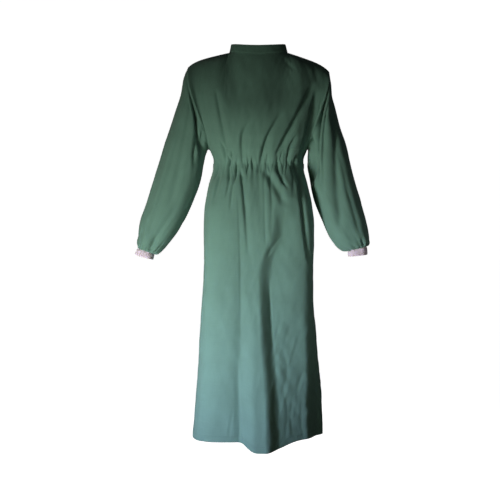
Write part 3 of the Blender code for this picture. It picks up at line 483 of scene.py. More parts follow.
def bodice(face, across, rise):
    """A point above the underarm: rise is 0 at the underarm and 1 at the neckline and shoulder seams."""
    share = np.abs(across)
    low_x, low_y = hoop(face, across, np.full_like(across, UNDERARM))
    top_x, top_y, top_z = top_edge(face, across)
    armhole_x = UNDERARM_HALF_WIDTH + (SHOULDER_X - UNDERARM_HALF_WIDTH) * rise**1.15
    spread = rise**2
    x = (1 - spread) * low_x * armhole_x / UNDERARM_HALF_WIDTH + spread * top_x
    z = UNDERARM + (top_z - UNDERARM) * rise
    neck_roll = rise**1.7
    shoulder_roll = 1 - (1 - np.clip(rise, 0, 1) ** 2.3) ** (1 / 2.3)
    on_shoulder = smooth_step(NECK_SHARE * 0.5, NECK_SHARE * 1.3, share)
    roll = neck_roll * (1 - on_shoulder) + shoulder_roll * on_shoulder
    armhole_bow = ARMHOLE_REACH[face] * 2 * np.sqrt(np.clip(rise * (1 - rise), 0, 1)) * share**4
    fullness = CHEST_FULLNESS[face] * np.exp(-(((rise - 0.32) / 0.26) ** 2))
    fullness = fullness * (1 - smooth_step(0.35, 1.0, share)) * smooth_step(0.0, 0.15, rise)
    above = rise * (top_z - UNDERARM)
    swell = UNDERARM_SLOPE[face] * above * np.exp(-above / UNDERARM_EASE) * np.cos(across * math.pi / 2)
    y = low_y * (1 - roll) + top_y * roll + AWAY[face] * (armhole_bow + fullness + swell)
    return x, y, z


def base_surface(face, across, level):
    """The unfolded body. level is 0 at the hem, 1 at the underarm, 2 at the neckline and shoulders."""
    across, level = np.broadcast_arrays(np.asarray(across, float), np.asarray(level, float))
    height = HEM + (UNDERARM - HEM) * np.clip(level, 0, 1)
    tube_x, tube_y = hoop(face, across, height)
    x, y, z = bodice(face, across, np.clip(level - 1, 0, 1))
    upper = level > 1
    return np.stack(
        [np.where(upper, x, tube_x), np.where(upper, y, tube_y), np.where(upper, z, height)], axis=-1
    )


def outward(face, across, level, step=0.02):
    """Unit normals that point out of the gown, from differences wide enough to smooth over its corners."""
    right = base_surface(face, np.minimum(across + step, 1.0), level)
    left = base_surface(face, np.maximum(across - step, -1.0), level)
    above = base_surface(face, across, np.minimum(level + step, 2.0))
    below = base_surface(face, across, np.maximum(level - step, 0.0))
    normal = np.cross(right - left, above - below)
    return unit(normal if face == "front" else -normal)


def fold_depth(folds, x, height):
    """The summed depth of the folds at each point, as seen square on to that face."""
    total = np.zeros_like(height)
    for fold in folds:
        knots = (fold.bottom_z, fold.middle_z, fold.top_z)
        centre = smooth_curve(knots, (fold.bottom_x, fold.middle_x, fold.top_x), height)
        depth = smooth_curve(knots, (fold.bottom, fold.middle, fold.top), height)
        offset = x - centre
        width = np.where(offset < 0, fold.left, fold.right)
        run = smooth_step(fold.bottom_z, fold.bottom_z + FOLD_TIP, height)
        run = run * (1 - smooth_step(fold.top_z - FOLD_TIP, fold.top_z, height))
        total += depth * run * bell(offset, width, fold.power)
    return total


def step_depth(x, height):
    """How far back the steps of the front lie."""
    total = np.zeros_like(height)
    for step in FRONT_STEPS:
        middle = smooth_curve(*zip(*step.path), height)
        depth = smooth_curve(*zip(*step.depth), height)
        total += depth * smooth_step(-step.width / 2, step.width / 2, x - middle)
    return total


def hem_droop(x, height):
    """How much lower the cloth hangs where the front stands out."""
    offset = x - DROOP_X
    width = np.where(offset < 0, *DROOP_HALF_WIDTHS)
    return HEM_DROOP * bell(offset, width, 3) * (1 - smooth_step(HEM, HEM + DROOP_RISE, height))


def gather_depth(x, height):
    """Uneven puckers drawn in by the waist tape, each with its own reach above and below the waist."""
    total = np.zeros_like(height)
    for k in range(GATHERS):
        wander = math.sin(2.4 * k + 0.7)
        centre = GATHERED_HALF_WIDTH * (2 * (k + 0.5) / GATHERS - 1) + 0.005 * wander
        above = 0.034 + 0.020 * math.sin(1.7 * k + 0.3)
        below = 0.060 + 0.034 * math.sin(2.9 * k + 1.1)
        reach = np.where(height > WAIST, above, below)
        lean = 0.10 * wander * (height - WAIST)
        depth = GATHER_DEPTH * (0.8 + 0.2 * wander)
        total += depth * bell(height - WAIST, reach) * bell(x - centre - lean, GATHER_HALF_WIDTH)
    return total


def fine_gathers(x, height):
    """Short leaning puckers in the waist channel and just beyond it, no two alike."""
    total = np.zeros_like(height)
    middle = (CHANNEL_TOP + CHANNEL_FOOT) / 2
    for k in range(PUCKERS):
        shift = math.sin(3.1 * k) + math.sin(1.3 * k + 2)
        centre = PUCKERED_HALF_WIDTH * (2 * (k + 0.5) / PUCKERS - 1) + 0.0020 * shift
        above = 0.020 + 0.008 * math.sin(1.9 * k + 0.4)
        below = 0.024 + 0.012 * math.sin(2.7 * k + 1.0)
        offset = height - middle
        line = centre + 0.25 * math.sin(4.7 * k + 0.9) * offset
        width = 0.0022 + 0.03 * np.abs(offset)
        depth = 0.0020 + 0.0013 * math.sin(5.3 * k)
        total += depth * bell(offset, np.where(offset > 0, above, below), 3) * bell(x - line, width)
    return total


def crumple(face, across, level, height):
    """Small uneven creases and slack, longer down the cloth than across it, and most in the lower skirt."""
    seed = 11 if face == "front" else 29
    u = across * PANEL_HALF_WIDTH
    v = np.where(level > 1, UNDERARM - (level - 1) * UNDERARM, height)
    crushed = bell(v - CRUSHED_HEIGHT, 0.19, 4) * smooth_step(0.05, 0.16, across)
    total = np.zeros_like(v)
    for k, lump in enumerate(CRUMPLES):
        noise_there = soft_noise((u + lump.lean * v) / lump.wide + lump.u, v / lump.tall + lump.v, seed + k)
        total = total + lump.depth * noise_there * (crushed if lump.crushed else 1)
    return total


def stitch_groove(offset):
    """The small dip of a row of machine stitches."""
    return STITCH_DIP * bell(offset, STITCH_DIP_WIDTH)


def body_surface(face, across, level):
    """The folded body: folds and gathers push the plain form in along its normal, less at the side seams."""
    across, level = np.broadcast_arrays(np.asarray(across, float), np.asarray(level, float))
    point = base_surface(face, across, level)
    x = point[..., 0]
    height = point[..., 2]
    front = face == "front"
    depth = fold_depth(FRONT_FOLDS if front else BACK_FOLDS, x, height) + gather_depth(x, height)
    fade = (1 - smooth_step(0.86, 1.0, np.abs(across))) * (1 - smooth_step(1.80, 2.0, level))
    small = crumple(face, across, level, height)
    small = small + fold_depth(FRONT_CREASES if front else BACK_CREASES, x, height)
    if front:
        small = small + fine_gathers(x, height)
        small = small + stitch_groove(height - CHANNEL_TOP) + stitch_groove(height - CHANNEL_FOOT)
    edge_fade = (1 - smooth_step(0.93, 1.0, np.abs(across))) * (1 - smooth_step(1.93, 2.0, level))
    depth = depth * fade + small * edge_fade
    depth = depth + np.where(level < 1, stitch_groove(height - HEM - HEM_DEPTH), 0)
    point = point - outward(face, across, level) * depth[..., None]
    if front:
        back = step_depth(x, height) * (1 - smooth_step(*STEP_FADE, across))
        point = point + np.stack([0 * back, back, -hem_droop(x, height)], axis=-1)
    return point


def grid_normals(grid, like):
    """Unit normals of a grid of points, on the side that the vectors of like point to."""
    normal = np.cross(np.gradient(grid, axis=1), np.gradient(grid, axis=0))
    return unit(normal * np.sign(np.sum(normal * like, axis=-1, keepdims=True)))


def row_levels():
    """Rows close together at the waist, along each row of stitches and at both ends of the armhole."""
    skirt = np.arange(HEM, CLOSE_ROWS_FOOT, SKIRT_SPACING)
    waist = np.arange(CLOSE_ROWS_FOOT, UNDERARM - WAIST_SPACING / 2, WAIST_SPACING)
    lines = [HEM + HEM_DEPTH + d for d in (-0.0016, 0.0, 0.0016)]
    heights = np.array([h for h in np.concatenate([skirt, waist]) if min(abs(h - s) for s in lines) > 0.0012])
    heights = np.sort(np.concatenate([heights, lines, [HEM + 0.0006, UNDERARM]]))
    turn = np.linspace(0, math.pi, BODICE_ROWS + 1)[1:]
    return np.concatenate([level_at(heights), 1 + (1 - np.cos(turn)) / 2])


def side_shares(neck_columns, shoulder_columns):
    """Column places from the middle of the neck to the side seam or armhole."""
    neck = np.linspace(0, NECK_SHARE, neck_columns + 1)
    shoulder = np.linspace(NECK_SHARE, 1, shoulder_columns + 1)[1:]
    return np.concatenate([neck, shoulder])


def cell_corners(values):
    """The values at the four corners of each cell of a grid, in order round it."""
    return np.stack([values[:-1, :-1], values[:-1, 1:], values[1:, 1:], values[1:, :-1]], axis=2)


def mesh_of(name, points, faces):
    mesh = bpy.data.meshes.new(name)
    mesh.from_pydata(points.reshape(-1, 3).tolist(), [], faces.tolist())
    return mesh, mesh.uv_layers.new(name="metres")


def wall(name, grid, normals, thickness, material, closed=False):
    """A cloth wall: the grid's two faces, half the thickness either side of it, joined round every edge.

    Its UV map is in metres along the rows and down the columns, so that a weave keeps its size."""
    rows, columns = grid.shape[:2]
    half = normals * (np.asarray(thickness) / 2 * np.ones(grid.shape[:2]))[..., None]
    points = np.concatenate([(grid + half).reshape(-1, 3), (grid - half).reshape(-1, 3)])
    index = np.arange(rows * columns).reshape(rows, columns)
    along = np.linalg.norm(np.diff(grid, axis=1, append=grid[:, :1]), axis=-1)
    u = np.concatenate([np.zeros((rows, 1)), np.cumsum(along, axis=1)], axis=1)
    u = u - u[:, columns // 2 : columns // 2 + 1]
    down = np.linalg.norm(np.diff(grid, axis=0), axis=-1)
    v = np.concatenate([np.zeros((1, columns)), np.cumsum(down, axis=0)], axis=0)
    v = np.concatenate([v, v[:, :1]], axis=1)
    if closed:
        index = np.concatenate([index, index[:, :1]], axis=1)
    last = index.shape[1] - 1
    quads = cell_corners(index).reshape(-1, 4)
    cells = np.stack([u, v], axis=-1)
    corners = cell_corners(cells[:, : last + 1]).reshape(-1, 4, 2)
    inner = rows * columns
    faces = [quads, quads[:, ::-1] + inner]
    maps = [corners, corners[:, ::-1]]
    for r in (0, rows - 1):
        rim = np.stack([index[r, :-1], index[r, :-1] + inner, index[r, 1:] + inner, index[r, 1:]], axis=-1)
        near = cells[r, :last]
        far = cells[r, 1 : last + 1]
        uv = np.stack([near, near, far, far], axis=1)
        faces.append(rim if r == 0 else rim[:, ::-1])
        maps.append(uv if r == 0 else uv[:, ::-1])
    if not closed:
        for c in (0, columns - 1):
            side = index[:, c]
            rim = np.stack([side[:-1], side[1:], side[1:] + inner, side[:-1] + inner], axis=-1)
            uv = np.stack([cells[:-1, c], cells[1:, c], cells[1:, c], cells[:-1, c]], axis=1)
            faces.append(rim if c == 0 else rim[:, ::-1])
            maps.append(uv if c == 0 else uv[:, ::-1])
    faces = np.concatenate(faces)
    maps = np.concatenate(maps)
    facing = np.cross(grid[0, 1] - grid[0, 0], grid[1, 0] - grid[0, 0])
    if np.dot(facing, normals[0, 0]) < 0:
        faces = faces[:, ::-1]
        maps = maps[:, ::-1]
    mesh, layer = mesh_of(name, points, faces)
    layer.data.foreach_set("uv", maps.reshape(-1))
    return add_piece(name, mesh, material)


def add_object(name, data):
    thing = bpy.data.objects.new(name, data)
    bpy.context.scene.collection.objects.link(thing)
    return thing


def add_piece(name, mesh, material):
    mesh.shade_smooth()
    mesh.set_sharp_from_angle(angle=math.radians(SHARP_DEGREES))
    mesh.materials.append(material)
    piece = add_object(name, mesh)
    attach(piece, "root")
    return piece


def hem_thickness(levels):
    """The hem is turned up twice, so its bottom is three layers thick."""
    height = HEM + (UNDERARM - HEM) * np.clip(levels, 0, 1)
    folded = 1 - smooth_step(HEM_DEPTH - 0.0006, HEM_DEPTH + 0.0012, height - HEM)
    return (POPLIN + (TURN_UP - POPLIN) * folded) * edge_rounding(1 - (height - HEM) / 0.0012, 0.2)


def front_grid():
    half = side_shares(FRONT_NECK_COLUMNS, FRONT_SHOULDER_COLUMNS)
    across = np.concatenate([-half[:0:-1], half])[None, :]
    level = row_levels()[:, None]
    grid = body_surface("front", across, level)
    return grid, grid_normals(grid, outward("front", across, level))


def back_grid(side):
    """side is 1 for the wearer's left panel, which laps over the right one. Columns run to the side seam."""
    lap = np.linspace(-LAP_SHARE, 0, LAP_COLUMNS + 1)[:-1]
    share = np.concatenate([lap, side_shares(BACK_NECK_COLUMNS, BACK_SHOULDER_COLUMNS)])[None, :]
    level = row_levels()[:, None]
    grid = body_surface("back", side * share, level)
    normals = grid_normals(grid, outward("back", side * share, level))
    if side < 0:
        grid = grid - normals * (LAP_STEP * (1 - smooth_step(*LAP_FADE, share)))[..., None]
    return grid, normals


def make_panels(material):
    """The front and the two back panels, with a hem turned up and a facing down each centre back edge."""
    thickness = hem_thickness(row_levels())[:, None]
    pieces = [wall("front_cloth", *front_grid(), thickness, material)]
    for side, word in SIDES:
        grid, normals = back_grid(side)
        from_edge = np.arange(grid.shape[1]) / LAP_COLUMNS * FACING_WIDTH
        one_layer = smooth_step(FACING_WIDTH - 0.002, FACING_WIDTH + 0.001, from_edge)
        thick = np.maximum(thickness, (TURN_UP - (TURN_UP - POPLIN) * one_layer)[None, :])
        pieces.append(wall("back_" + word + "_cloth", grid, normals, thick, material))
    return pieces


def armhole(side, turns):
    """Points of the armhole: from the shoulder down the front to the underarm, and up the back."""
    rise = 1 + (1 + np.cos(turns)) / 2
    edge = np.full_like(rise, float(side))
    on_front = (turns % (2 * math.pi)) <= math.pi
    points = [body_surface(face, edge, rise) for face in ("front", "back")]
    normals = [outward(face, edge, rise) for face in ("front", "back")]
    return np.where(on_front[:, None], *points), np.where(on_front[:, None], *normals)


def ring_points(rows, at, turns, side):
    """Points of a sleeve's rings. at counts rows of the table, turns are radians from the outer edge."""
    values = {}
    for column in ("out_x", "out_z", "in_x", "in_z", "centre_y", "half_depth"):
        values[column] = smooth_curve(range(len(rows)), [getattr(r, column) for r in rows], at)
    swing = np.cos(turns)
    x = (values["out_x"] + values["in_x"]) / 2 + (values["out_x"] - values["in_x"]) / 2 * swing
    z = (values["out_z"] + values["in_z"]) / 2 + (values["out_z"] - values["in_z"]) / 2 * swing
    bulge = np.sin(turns) * (1 + SLEEVE_SQUARENESS * np.sin(2 * turns) ** 2)
    y = values["centre_y"] - values["half_depth"] * bulge
    return np.stack([side * x, y, z], axis=-1)


def tube_normals(grid, side):
    """Outward normals of a tube whose columns go round it and whose rows go down it."""
    around = np.roll(grid, -1, axis=1) - np.roll(grid, 1, axis=1)
    return unit(np.cross(around, np.gradient(grid, axis=0)) * side)


def turn_gap(degrees, centre):
    """The signed angle from centre, the short way round."""
    return (degrees - centre + 180) % 360 - 180


def arm_fold_depth(folds, at, turns):
    total = np.zeros(np.broadcast(at, turns).shape)
    degrees = np.degrees(turns)
    last = len(RIGHT_SLEEVE) - 1
    for fold in folds:
        share = np.clip((at - fold.start) / (fold.end - fold.start), 0, 1)
        centre = fold.start_turn + (fold.end_turn - fold.start_turn) * share
        run = smooth_step(fold.start - 0.2, fold.start + 0.8, at)
        run = run * (1 - smooth_step(min(fold.end - 0.9, last - 1.8), min(fold.end + 0.3, last - 0.9), at))
        total += fold.depth * run * bell(turn_gap(degrees, centre), fold.half_turn)
    return total


def wrist_gathers(at, turns, seed):
    """The puckers where the sleeve's end is drawn in to the cuff."""
    last = len(RIGHT_SLEEVE) - 1
    phase = WRIST_GATHERS * turns + 1.3 * np.sin(2 * turns + seed) + 0.7 * np.sin(5 * turns)
    waves = (0.5 + 0.5 * np.cos(phase)) ** 1.4
    length = 1.0 + 0.5 * np.sin(3 * turns + seed)
    near = smooth_step(last - 2.2 - 1.3 * length, last - 1.3, at)
    settle = 1 - 0.75 * smooth_step(last - 1.2, last - 0.2, at)
    return WRIST_GATHER_DEPTH * waves * near * settle


def arm_crumple(at, turns, seed):
    u = turns / (2 * math.pi) * 64
    slack = 0.0022 * soft_noise(u / 8 + 0.4 * at, at / 1.6 + 10, seed)
    crease = 0.0011 * soft_noise(u / 2 + 0.5 * at, at / 0.8 + 20, seed + 1)
    return slack + crease


def sleeve_grid(rows, folds, side, seed):
    turns = (np.arange(SLEEVE_COLUMNS) / SLEEVE_COLUMNS * 2 * math.pi)[None, :]
    last = len(rows) - 1
    at = np.linspace(0, 1, SLEEVE_ROWS) * last
    at = np.unique(np.round(np.concatenate([at, np.linspace(last - 1.9, last, 26)]), 3))[:, None]
    plain = ring_points(rows, at + 0 * turns, turns + 0 * at, side)
    start, start_normals = armhole(side, turns[0])
    settle = smooth_step(0.0, 2.2, at)[..., None]
    grid = plain * settle + (plain - plain[:1] + start[None]) * (1 - settle)
    depth = arm_fold_depth(folds, at, turns) * smooth_step(0.0, 0.5, at)
    ends = smooth_step(0.0, 0.5, at) * (1 - smooth_step(last - 1.2, last - 0.1, at))
    depth = depth + wrist_gathers(at, turns, seed) + arm_crumple(at, turns, seed) * ends
    grid = grid - tube_normals(grid, side) * depth[..., None]
    normals = tube_normals(grid, side)
    normals[0] = unit(start_normals + normals[1])
    return grid, normals


def cuff_grid(wrist, end, side):
    """Rib-knit cuffs: the ribs are in the mesh, and the end is a soft fold."""
    columns = CUFF_RIBS * COLUMNS_PER_RIB
    turns = (np.arange(columns) / columns * 2 * math.pi)[None, :]
    at = np.concatenate([np.linspace(0, 0.94, 16), [0.96, 0.98, 0.992, 1.0]])[:, None]
    grid = ring_points((wrist, end), at + 0 * turns, turns + 0 * at, side)
    drawn_in = 0.0012 * bell(at - 0.05, 0.12) - 0.0006 * np.sin(math.pi * at)
    ribs = 0.00055 * np.cos(CUFF_RIBS * turns) + 0.0004 * np.sin(3 * turns + 2 * at)
    grid = grid + tube_normals(grid, side) * (ribs - drawn_in)[..., None]
    return grid, tube_normals(grid, side), KNIT * edge_rounding((at - 0.93) / 0.07, 0.06)


def make_arms(cloth, knit):
    """Both sleeves, then both cuffs."""
    pieces = []
    for arm in ARMS:
        sleeve = sleeve_grid(arm.rings, arm.folds, arm.side, arm.seed)
        pieces.append(wall("sleeve_" + arm.word + "_cloth", *sleeve, POPLIN, cloth, closed=True))
    for arm in ARMS:
        cuff = cuff_grid(arm.rings[-1], arm.cuff_end, arm.side)
        pieces.append(wall("cuff_" + arm.word + "_knit", *cuff, knit, closed=True))
    return pieces


def collar_ring(rise, turn):
    """turn is in radians from the centre front; rise is 0 at the neckline and 1 at the collar's top edge."""
    facing = np.cos(turn)
    reach_low = np.where(facing > 0, NECK_REACH["front"], NECK_REACH["back"])
    reach_top = np.where(facing > 0, COLLAR_TOP_REACH["front"], COLLAR_TOP_REACH["back"])
    low_z = np.where(facing > 0, NECK_HEIGHT["front"], NECK_HEIGHT["back"]) * facing**2
    top_z = COLLAR_TOP_HEIGHT["side"] + facing**2 * (
        np.where(facing > 0, COLLAR_TOP_HEIGHT["front"], COLLAR_TOP_HEIGHT["back"])
        - COLLAR_TOP_HEIGHT["side"]
    )
    x = (NECK_HALF_WIDTH + (COLLAR_TOP_HALF_WIDTH - NECK_HALF_WIDTH) * rise) * np.sin(turn)
    y = -(reach_low + (reach_top - reach_low) * rise) * facing
    z = low_z + (top_z - low_z) * rise
    return np.stack([x, y, z], axis=-1)


def make_collar(material):
    """A band of two layers with a rounded top edge and a row of stitches near each edge."""
    gap_turn = 0.03
    turn = np.linspace(-math.pi + gap_turn, math.pi - gap_turn, 221)[None, :]
    rise = np.concatenate([np.linspace(0, 0.16, 5), np.linspace(0.26, 0.74, 5), np.linspace(0.82, 0.94, 4)])
    rise = np.concatenate([rise, [0.97, 0.99, 1.0]])[:, None]
    grid = collar_ring(rise + 0 * turn, turn + 0 * rise)
    normals = grid_normals(grid, grid * (1.0, 1.0, 0.0))
    wave = 0.0010 * soft_noise(turn * 3.2 + 12, rise * 1.5 + 4, 3)
    wave = wave + 0.0004 * soft_noise(turn * 9 + 30, rise * 2, 4)
    stitched = stitch_groove((rise - 0.90) * 0.03) + stitch_groove((rise - 0.09) * 0.03)
    grid = grid + normals * (wave * smooth_step(0, 0.3, rise) - stitched)[..., None]
    thickness = COLLAR_CLOTH * edge_rounding((rise - 0.95) / 0.05, 0.08) + 0 * turn
    return wall("collar_cloth", grid, normals, thickness, material), grid, normals


def ribbon(name, middle, across, normals, width, material):
    """A flat tape along the line middle. across is the direction of its width, and its edges are rounded."""
    shares = np.array([-0.5, -0.47, -0.25, 0.0, 0.25, 0.47, 0.5])[:, None, None]
    grid = middle[None] + shares * np.asarray(width).reshape(1, -1, 1) * across[None]
    edge = np.array([0.35, 1, 1, 1, 1, 1, 0.35])[:, None]
    return wall(name, grid, normals[None] + 0 * grid, TAPE * edge + 0 * grid[..., 0], material)


def back_point(x, z):
    """The point of the back with this x and z, and the normal there."""
    reach = 0.25
    levels = np.linspace(0, 2, 401)
    across = np.array(x / reach)
    for _ in range(12):
        column = base_surface("back", across + 0 * levels, levels)
        level = np.interp(z, column[:, 2], levels)
        at = base_surface("back", across, np.array(level))
        across = across + (x - at[0]) / reach
    level = np.array(level)
    return body_surface("back", across, level), outward("back", across, level)


def make_waist_tapes(material):
    """From the side seams to the bow, over the outside of the gathered back."""
    pieces = []
    for side, word in SIDES:
        share = np.linspace(0, SEAM_SHARE, 70)
        level = level_at(WAIST) + 0 * share
        normals = outward("back", side * share, level)
        ripple = 0.0004 * soft_noise(share * 26, 0 * share + side, 17)
        middle = base_surface("back", side * share, level) + normals * (TAPE_LIFT + ripple)[:, None]
        up = np.tile([0.0, 0.0, 1.0], (len(share), 1))
        width = WAIST_TAPE_WIDTH + 0 * share
        pieces.append(ribbon("waist_tape_" + word + "_cloth", middle, up, normals, width, material))
    return pieces


def make_knot(bow, centre, material):
    """A knot of tape: a soft block with the wraps of the tape pressed into it."""
    rows = 25
    columns = 40
    lift = np.linspace(-math.pi / 2, math.pi / 2, rows)[:, None]
    turn = (np.arange(columns) / columns * 2 * math.pi)[None, :]

    def flat(value, power):
        return np.sign(value) * np.abs(value) ** power

    x = flat(np.cos(lift), 0.55) * flat(np.cos(turn), 0.7) * bow.knot_width / 2
    y = flat(np.cos(lift), 0.55) * flat(np.sin(turn), 0.7) * bow.knot_depth / 2
    z = flat(np.sin(lift), 0.7) * bow.knot_height / 2 + 0 * turn
    squeeze = 1 - 0.10 * bell(x - 0.16 * z, bow.knot_width * 0.10)
    squeeze = squeeze - 0.07 * bell(x + 0.25 * bow.knot_width, 0.0012)
    points = np.stack([x + centre[0], y * squeeze + centre[1], z * squeeze + centre[2]], axis=-1)
    index = np.arange(rows * columns).reshape(rows, columns)
    index = np.concatenate([index, index[:, :1]], axis=1)
    mesh = mesh_of(bow.name + "_knot_cloth", points, cell_corners(index).reshape(-1, 4))[0]
    piece = add_piece(mesh.name, mesh, material)
    weld = piece.modifiers.new("weld", "WELD")
    weld.merge_threshold = 0.00002
    return piece


def make_bow(bow, base_y, material):
    """A knot, two loops and two tails. base_y is the plane that the knot sits on."""
    pieces = [make_knot(bow, (0.0, base_y + bow.knot_depth / 2, bow.height), material)]
    for side, word in SIDES:
        turn = np.linspace(0, 2 * math.pi, 61)
        reach = (1 - np.cos(turn)) / 2
        x = side * (bow.knot_width / 2 - 0.002 + bow.loop_reach * reach)
        z = bow.height - bow.loop_drop * reach**1.5
        y = base_y + 0.0095 + 0.0016 * np.cos(turn / 2) + 0.0045 * np.sin(turn) * (0.6 + 0.4 * reach)
        path = np.stack([x, y, z], axis=-1)
        up = unit(np.stack([-side * 0.30 * reach, 0.12 * np.sin(turn), 0 * reach + 1], axis=-1))
        normals = unit(np.cross(np.gradient(path, axis=0), up))
        width = bow.tape_width * (0.55 + 0.30 * smooth_step(0, 0.35, reach))
        pieces.append(ribbon(bow.name + "_loop_" + word + "_cloth", path, up, normals, width, material))
        pieces.append(make_tail(bow, side, word, material))
    return pieces


def make_tail(bow, side, word, material):
    """A tail starts just below the knot and lies down the back: points of the back moved out."""
    fall = np.linspace(0, 1, 46)
    lift = TAIL_LIFT + 0.0035 * (1 - smooth_step(0, 0.2, fall))
    lift = lift + 0.0012 * np.sin(7 * fall + side) * smooth_step(0, 0.4, fall)
    width = bow.tape_width * (0.45 + 0.55 * smooth_step(0, 0.25, fall))
    z = bow.height - bow.knot_height / 2 + 0.001 - bow.tail_length * fall
    x = side * (bow.knot_width * 0.32 + bow.tail_spread * fall**0.8)
    points, outs = zip(*[back_point(*at) for at in zip(x, z)])
    middle = np.stack([x, np.array(points)[:, 1] + lift, z], axis=-1)
    outs = np.array(outs)
    across = unit(np.cross(np.gradient(middle, axis=0), outs))
    return ribbon(bow.name + "_tail_" + word + "_cloth", middle, across, outs, width, material)


def stitch_row(name, points, normals, lift, material):
    """Machine stitches along a line of points: short threads that lie on the cloth, each a small spindle."""
    steps = np.concatenate([[0], np.cumsum(np.linalg.norm(np.diff(points, axis=0), axis=1))])
    count = int(steps[-1] / STITCH_PITCH)
    at = (np.arange(count) + 0.5) * STITCH_PITCH

    def place(values, where):
        return np.stack([np.interp(where, steps, values[:, k]) for k in range(3)], axis=-1)

    out = unit(place(normals, at))
    ahead = unit(place(points, at + STITCH_LENGTH / 2) - place(points, at - STITCH_LENGTH / 2))
    aside = unit(np.cross(ahead, out))
    centre = place(points, at) + out * lift
    verts = []
    faces = []
    for share, size in ((-0.5, 0.25), (-0.25, 1.0), (0.25, 1.0), (0.5, 0.25)):
        sink = -THREAD_RADIUS * 0.9 * (1 - size)
        for a, b in ((1, 0), (0, 1), (-1, 0), (0, -1)):
            around = (aside * a + out * b) * THREAD_RADIUS * size
            verts.append(centre + ahead * share * STITCH_LENGTH + around + out * sink)
    verts = np.stack(verts, axis=1)
    for ring in range(3):
        for k in range(4):
            m = (k + 1) % 4
            faces.append((ring * 4 + k, ring * 4 + m, ring * 4 + 4 + m, ring * 4 + 4 + k))
    faces.append((3, 2, 1, 0))
    faces.append((12, 13, 14, 15))
    all_faces = (np.array(faces)[None] + 16 * np.arange(count)[:, None, None]).reshape(-1, 4)
    return add_piece(name, mesh_of(name, verts, all_faces)[0], material)


def panel_row(face, across, level):
    """Points and normals along a line of a panel. The right back panel lies under the left one at the lap."""
    across, level = np.broadcast_arrays(np.asarray(across, float), np.asarray(level, float))
    normals = outward(face, across, level)
    points = body_surface(face, across, level)
    if face == "back":
        under = (across < 0) * (1 - smooth_step(*LAP_FADE, -across))
        points = points - normals * (LAP_STEP * under)[..., None]
    return points, normals


def make_stitches(collar_grid, collar_normals, material):
    """Rows of machine stitches: hems, the waist channel, the back edge and both edges of the collar."""
    wide = np.linspace(-SEAM_SHARE, SEAM_SHARE, 620)
    left = np.linspace(0.01, SEAM_SHARE, 400)
    right = np.linspace(-SEAM_SHARE, -0.15, 400)
    hem = level_at(HEM + HEM_DEPTH - 0.0012)
    down = np.linspace(0.02, 1.96, 900)
    rows = {
        "front_cloth": (
            ("front_hem_stitches", *panel_row("front", wide, hem), TURN_UP / 2),
            ("channel_top_stitches", *panel_row("front", wide, level_at(CHANNEL_TOP)), POPLIN / 2),
            ("channel_foot_stitches", *panel_row("front", wide, level_at(CHANNEL_FOOT)), POPLIN / 2),
        ),
        "back_left_cloth": (
            ("back_left_hem_stitches", *panel_row("back", left, hem), TURN_UP / 2),
            ("back_left_edge_stitches", *panel_row("back", -0.018 + 0 * down, down), TURN_UP / 2),
        ),
        "back_right_cloth": (
            ("back_right_hem_stitches", *panel_row("back", right, hem), TURN_UP / 2),
        ),
        "collar_cloth": (
            ("collar_foot_stitches", collar_grid[2], collar_normals[2], COLLAR_CLOTH / 2),
            ("collar_top_stitches", collar_grid[12], collar_normals[12], COLLAR_CLOTH / 2),
        ),
    }
    return {cloth: [stitch_row(*row, material) for row in lines] for cloth, lines in rows.items()}


def plug(tree, node, inputs):
    """Set a node's inputs, by name or number, to values or to other nodes' outputs."""
    for key, value in inputs.items():
        if isinstance(value, bpy.types.NodeSocket):
            tree.links.new(value, node.inputs[key])
        else:
            node.inputs[key].default_value = value


def add_node(tree, kind, inputs, output, **settings):
    """A new node. What comes back is its output of that name or number."""
    node = tree.nodes.new("ShaderNode" + kind)
    for key, value in settings.items():
        setattr(node, key, value)
    plug(tree, node, inputs)
    return node.outputs[output]


def maths(tree, operation, *values):
    return add_node(tree, "Math", dict(enumerate(values)), 0, operation=operation)


def noise(tree, vector, scale, detail=3.0, roughness=0.5):
    inputs = {"Scale": scale, "Detail": detail, "Roughness": roughness, "Vector": vector}
    return add_node(tree, "TexNoise", inputs, "Fac")


def bump(tree, height, distance, strength, **below):
    inputs = {"Distance": distance, "Strength": strength, "Height": height, **below}
    return add_node(tree, "Bump", inputs, "Normal")


def stretched(tree, vector, scale):
    return add_node(tree, "Mapping", {"Scale": scale, "Vector": vector}, "Vector")


def vary(tree, colour, amount, factor):
    """The colour made up to amount darker or lighter by a factor that runs from 0 to 1."""
    dark = [c * (1 - amount) for c in colour[:3]] + [1.0]
    light = [min(1.0, c * (1 + amount)) for c in colour[:3]] + [1.0]
    return add_node(tree, "Mix", {"A": dark, "B": light, "Factor": factor}, "Result", data_type="RGBA")


def texture_places(tree):
    """The two coordinates of the map in metres, the place on the gown and the map itself."""
    uv = add_node(tree, "UVMap", {}, "UV")
    axes = [add_node(tree, "SeparateXYZ", {0: uv}, axis) for axis in ("X", "Y")]
    return *axes, add_node(tree, "TexCoord", {}, "Object"), uv


def new_material(name):
    material = bpy.data.materials.new(name)
    material.use_nodes = True
    return material, material.node_tree


def finish_material(material, inputs):
    tree = material.node_tree
    plug(tree, tree.nodes["Principled BSDF"], inputs)
    return material


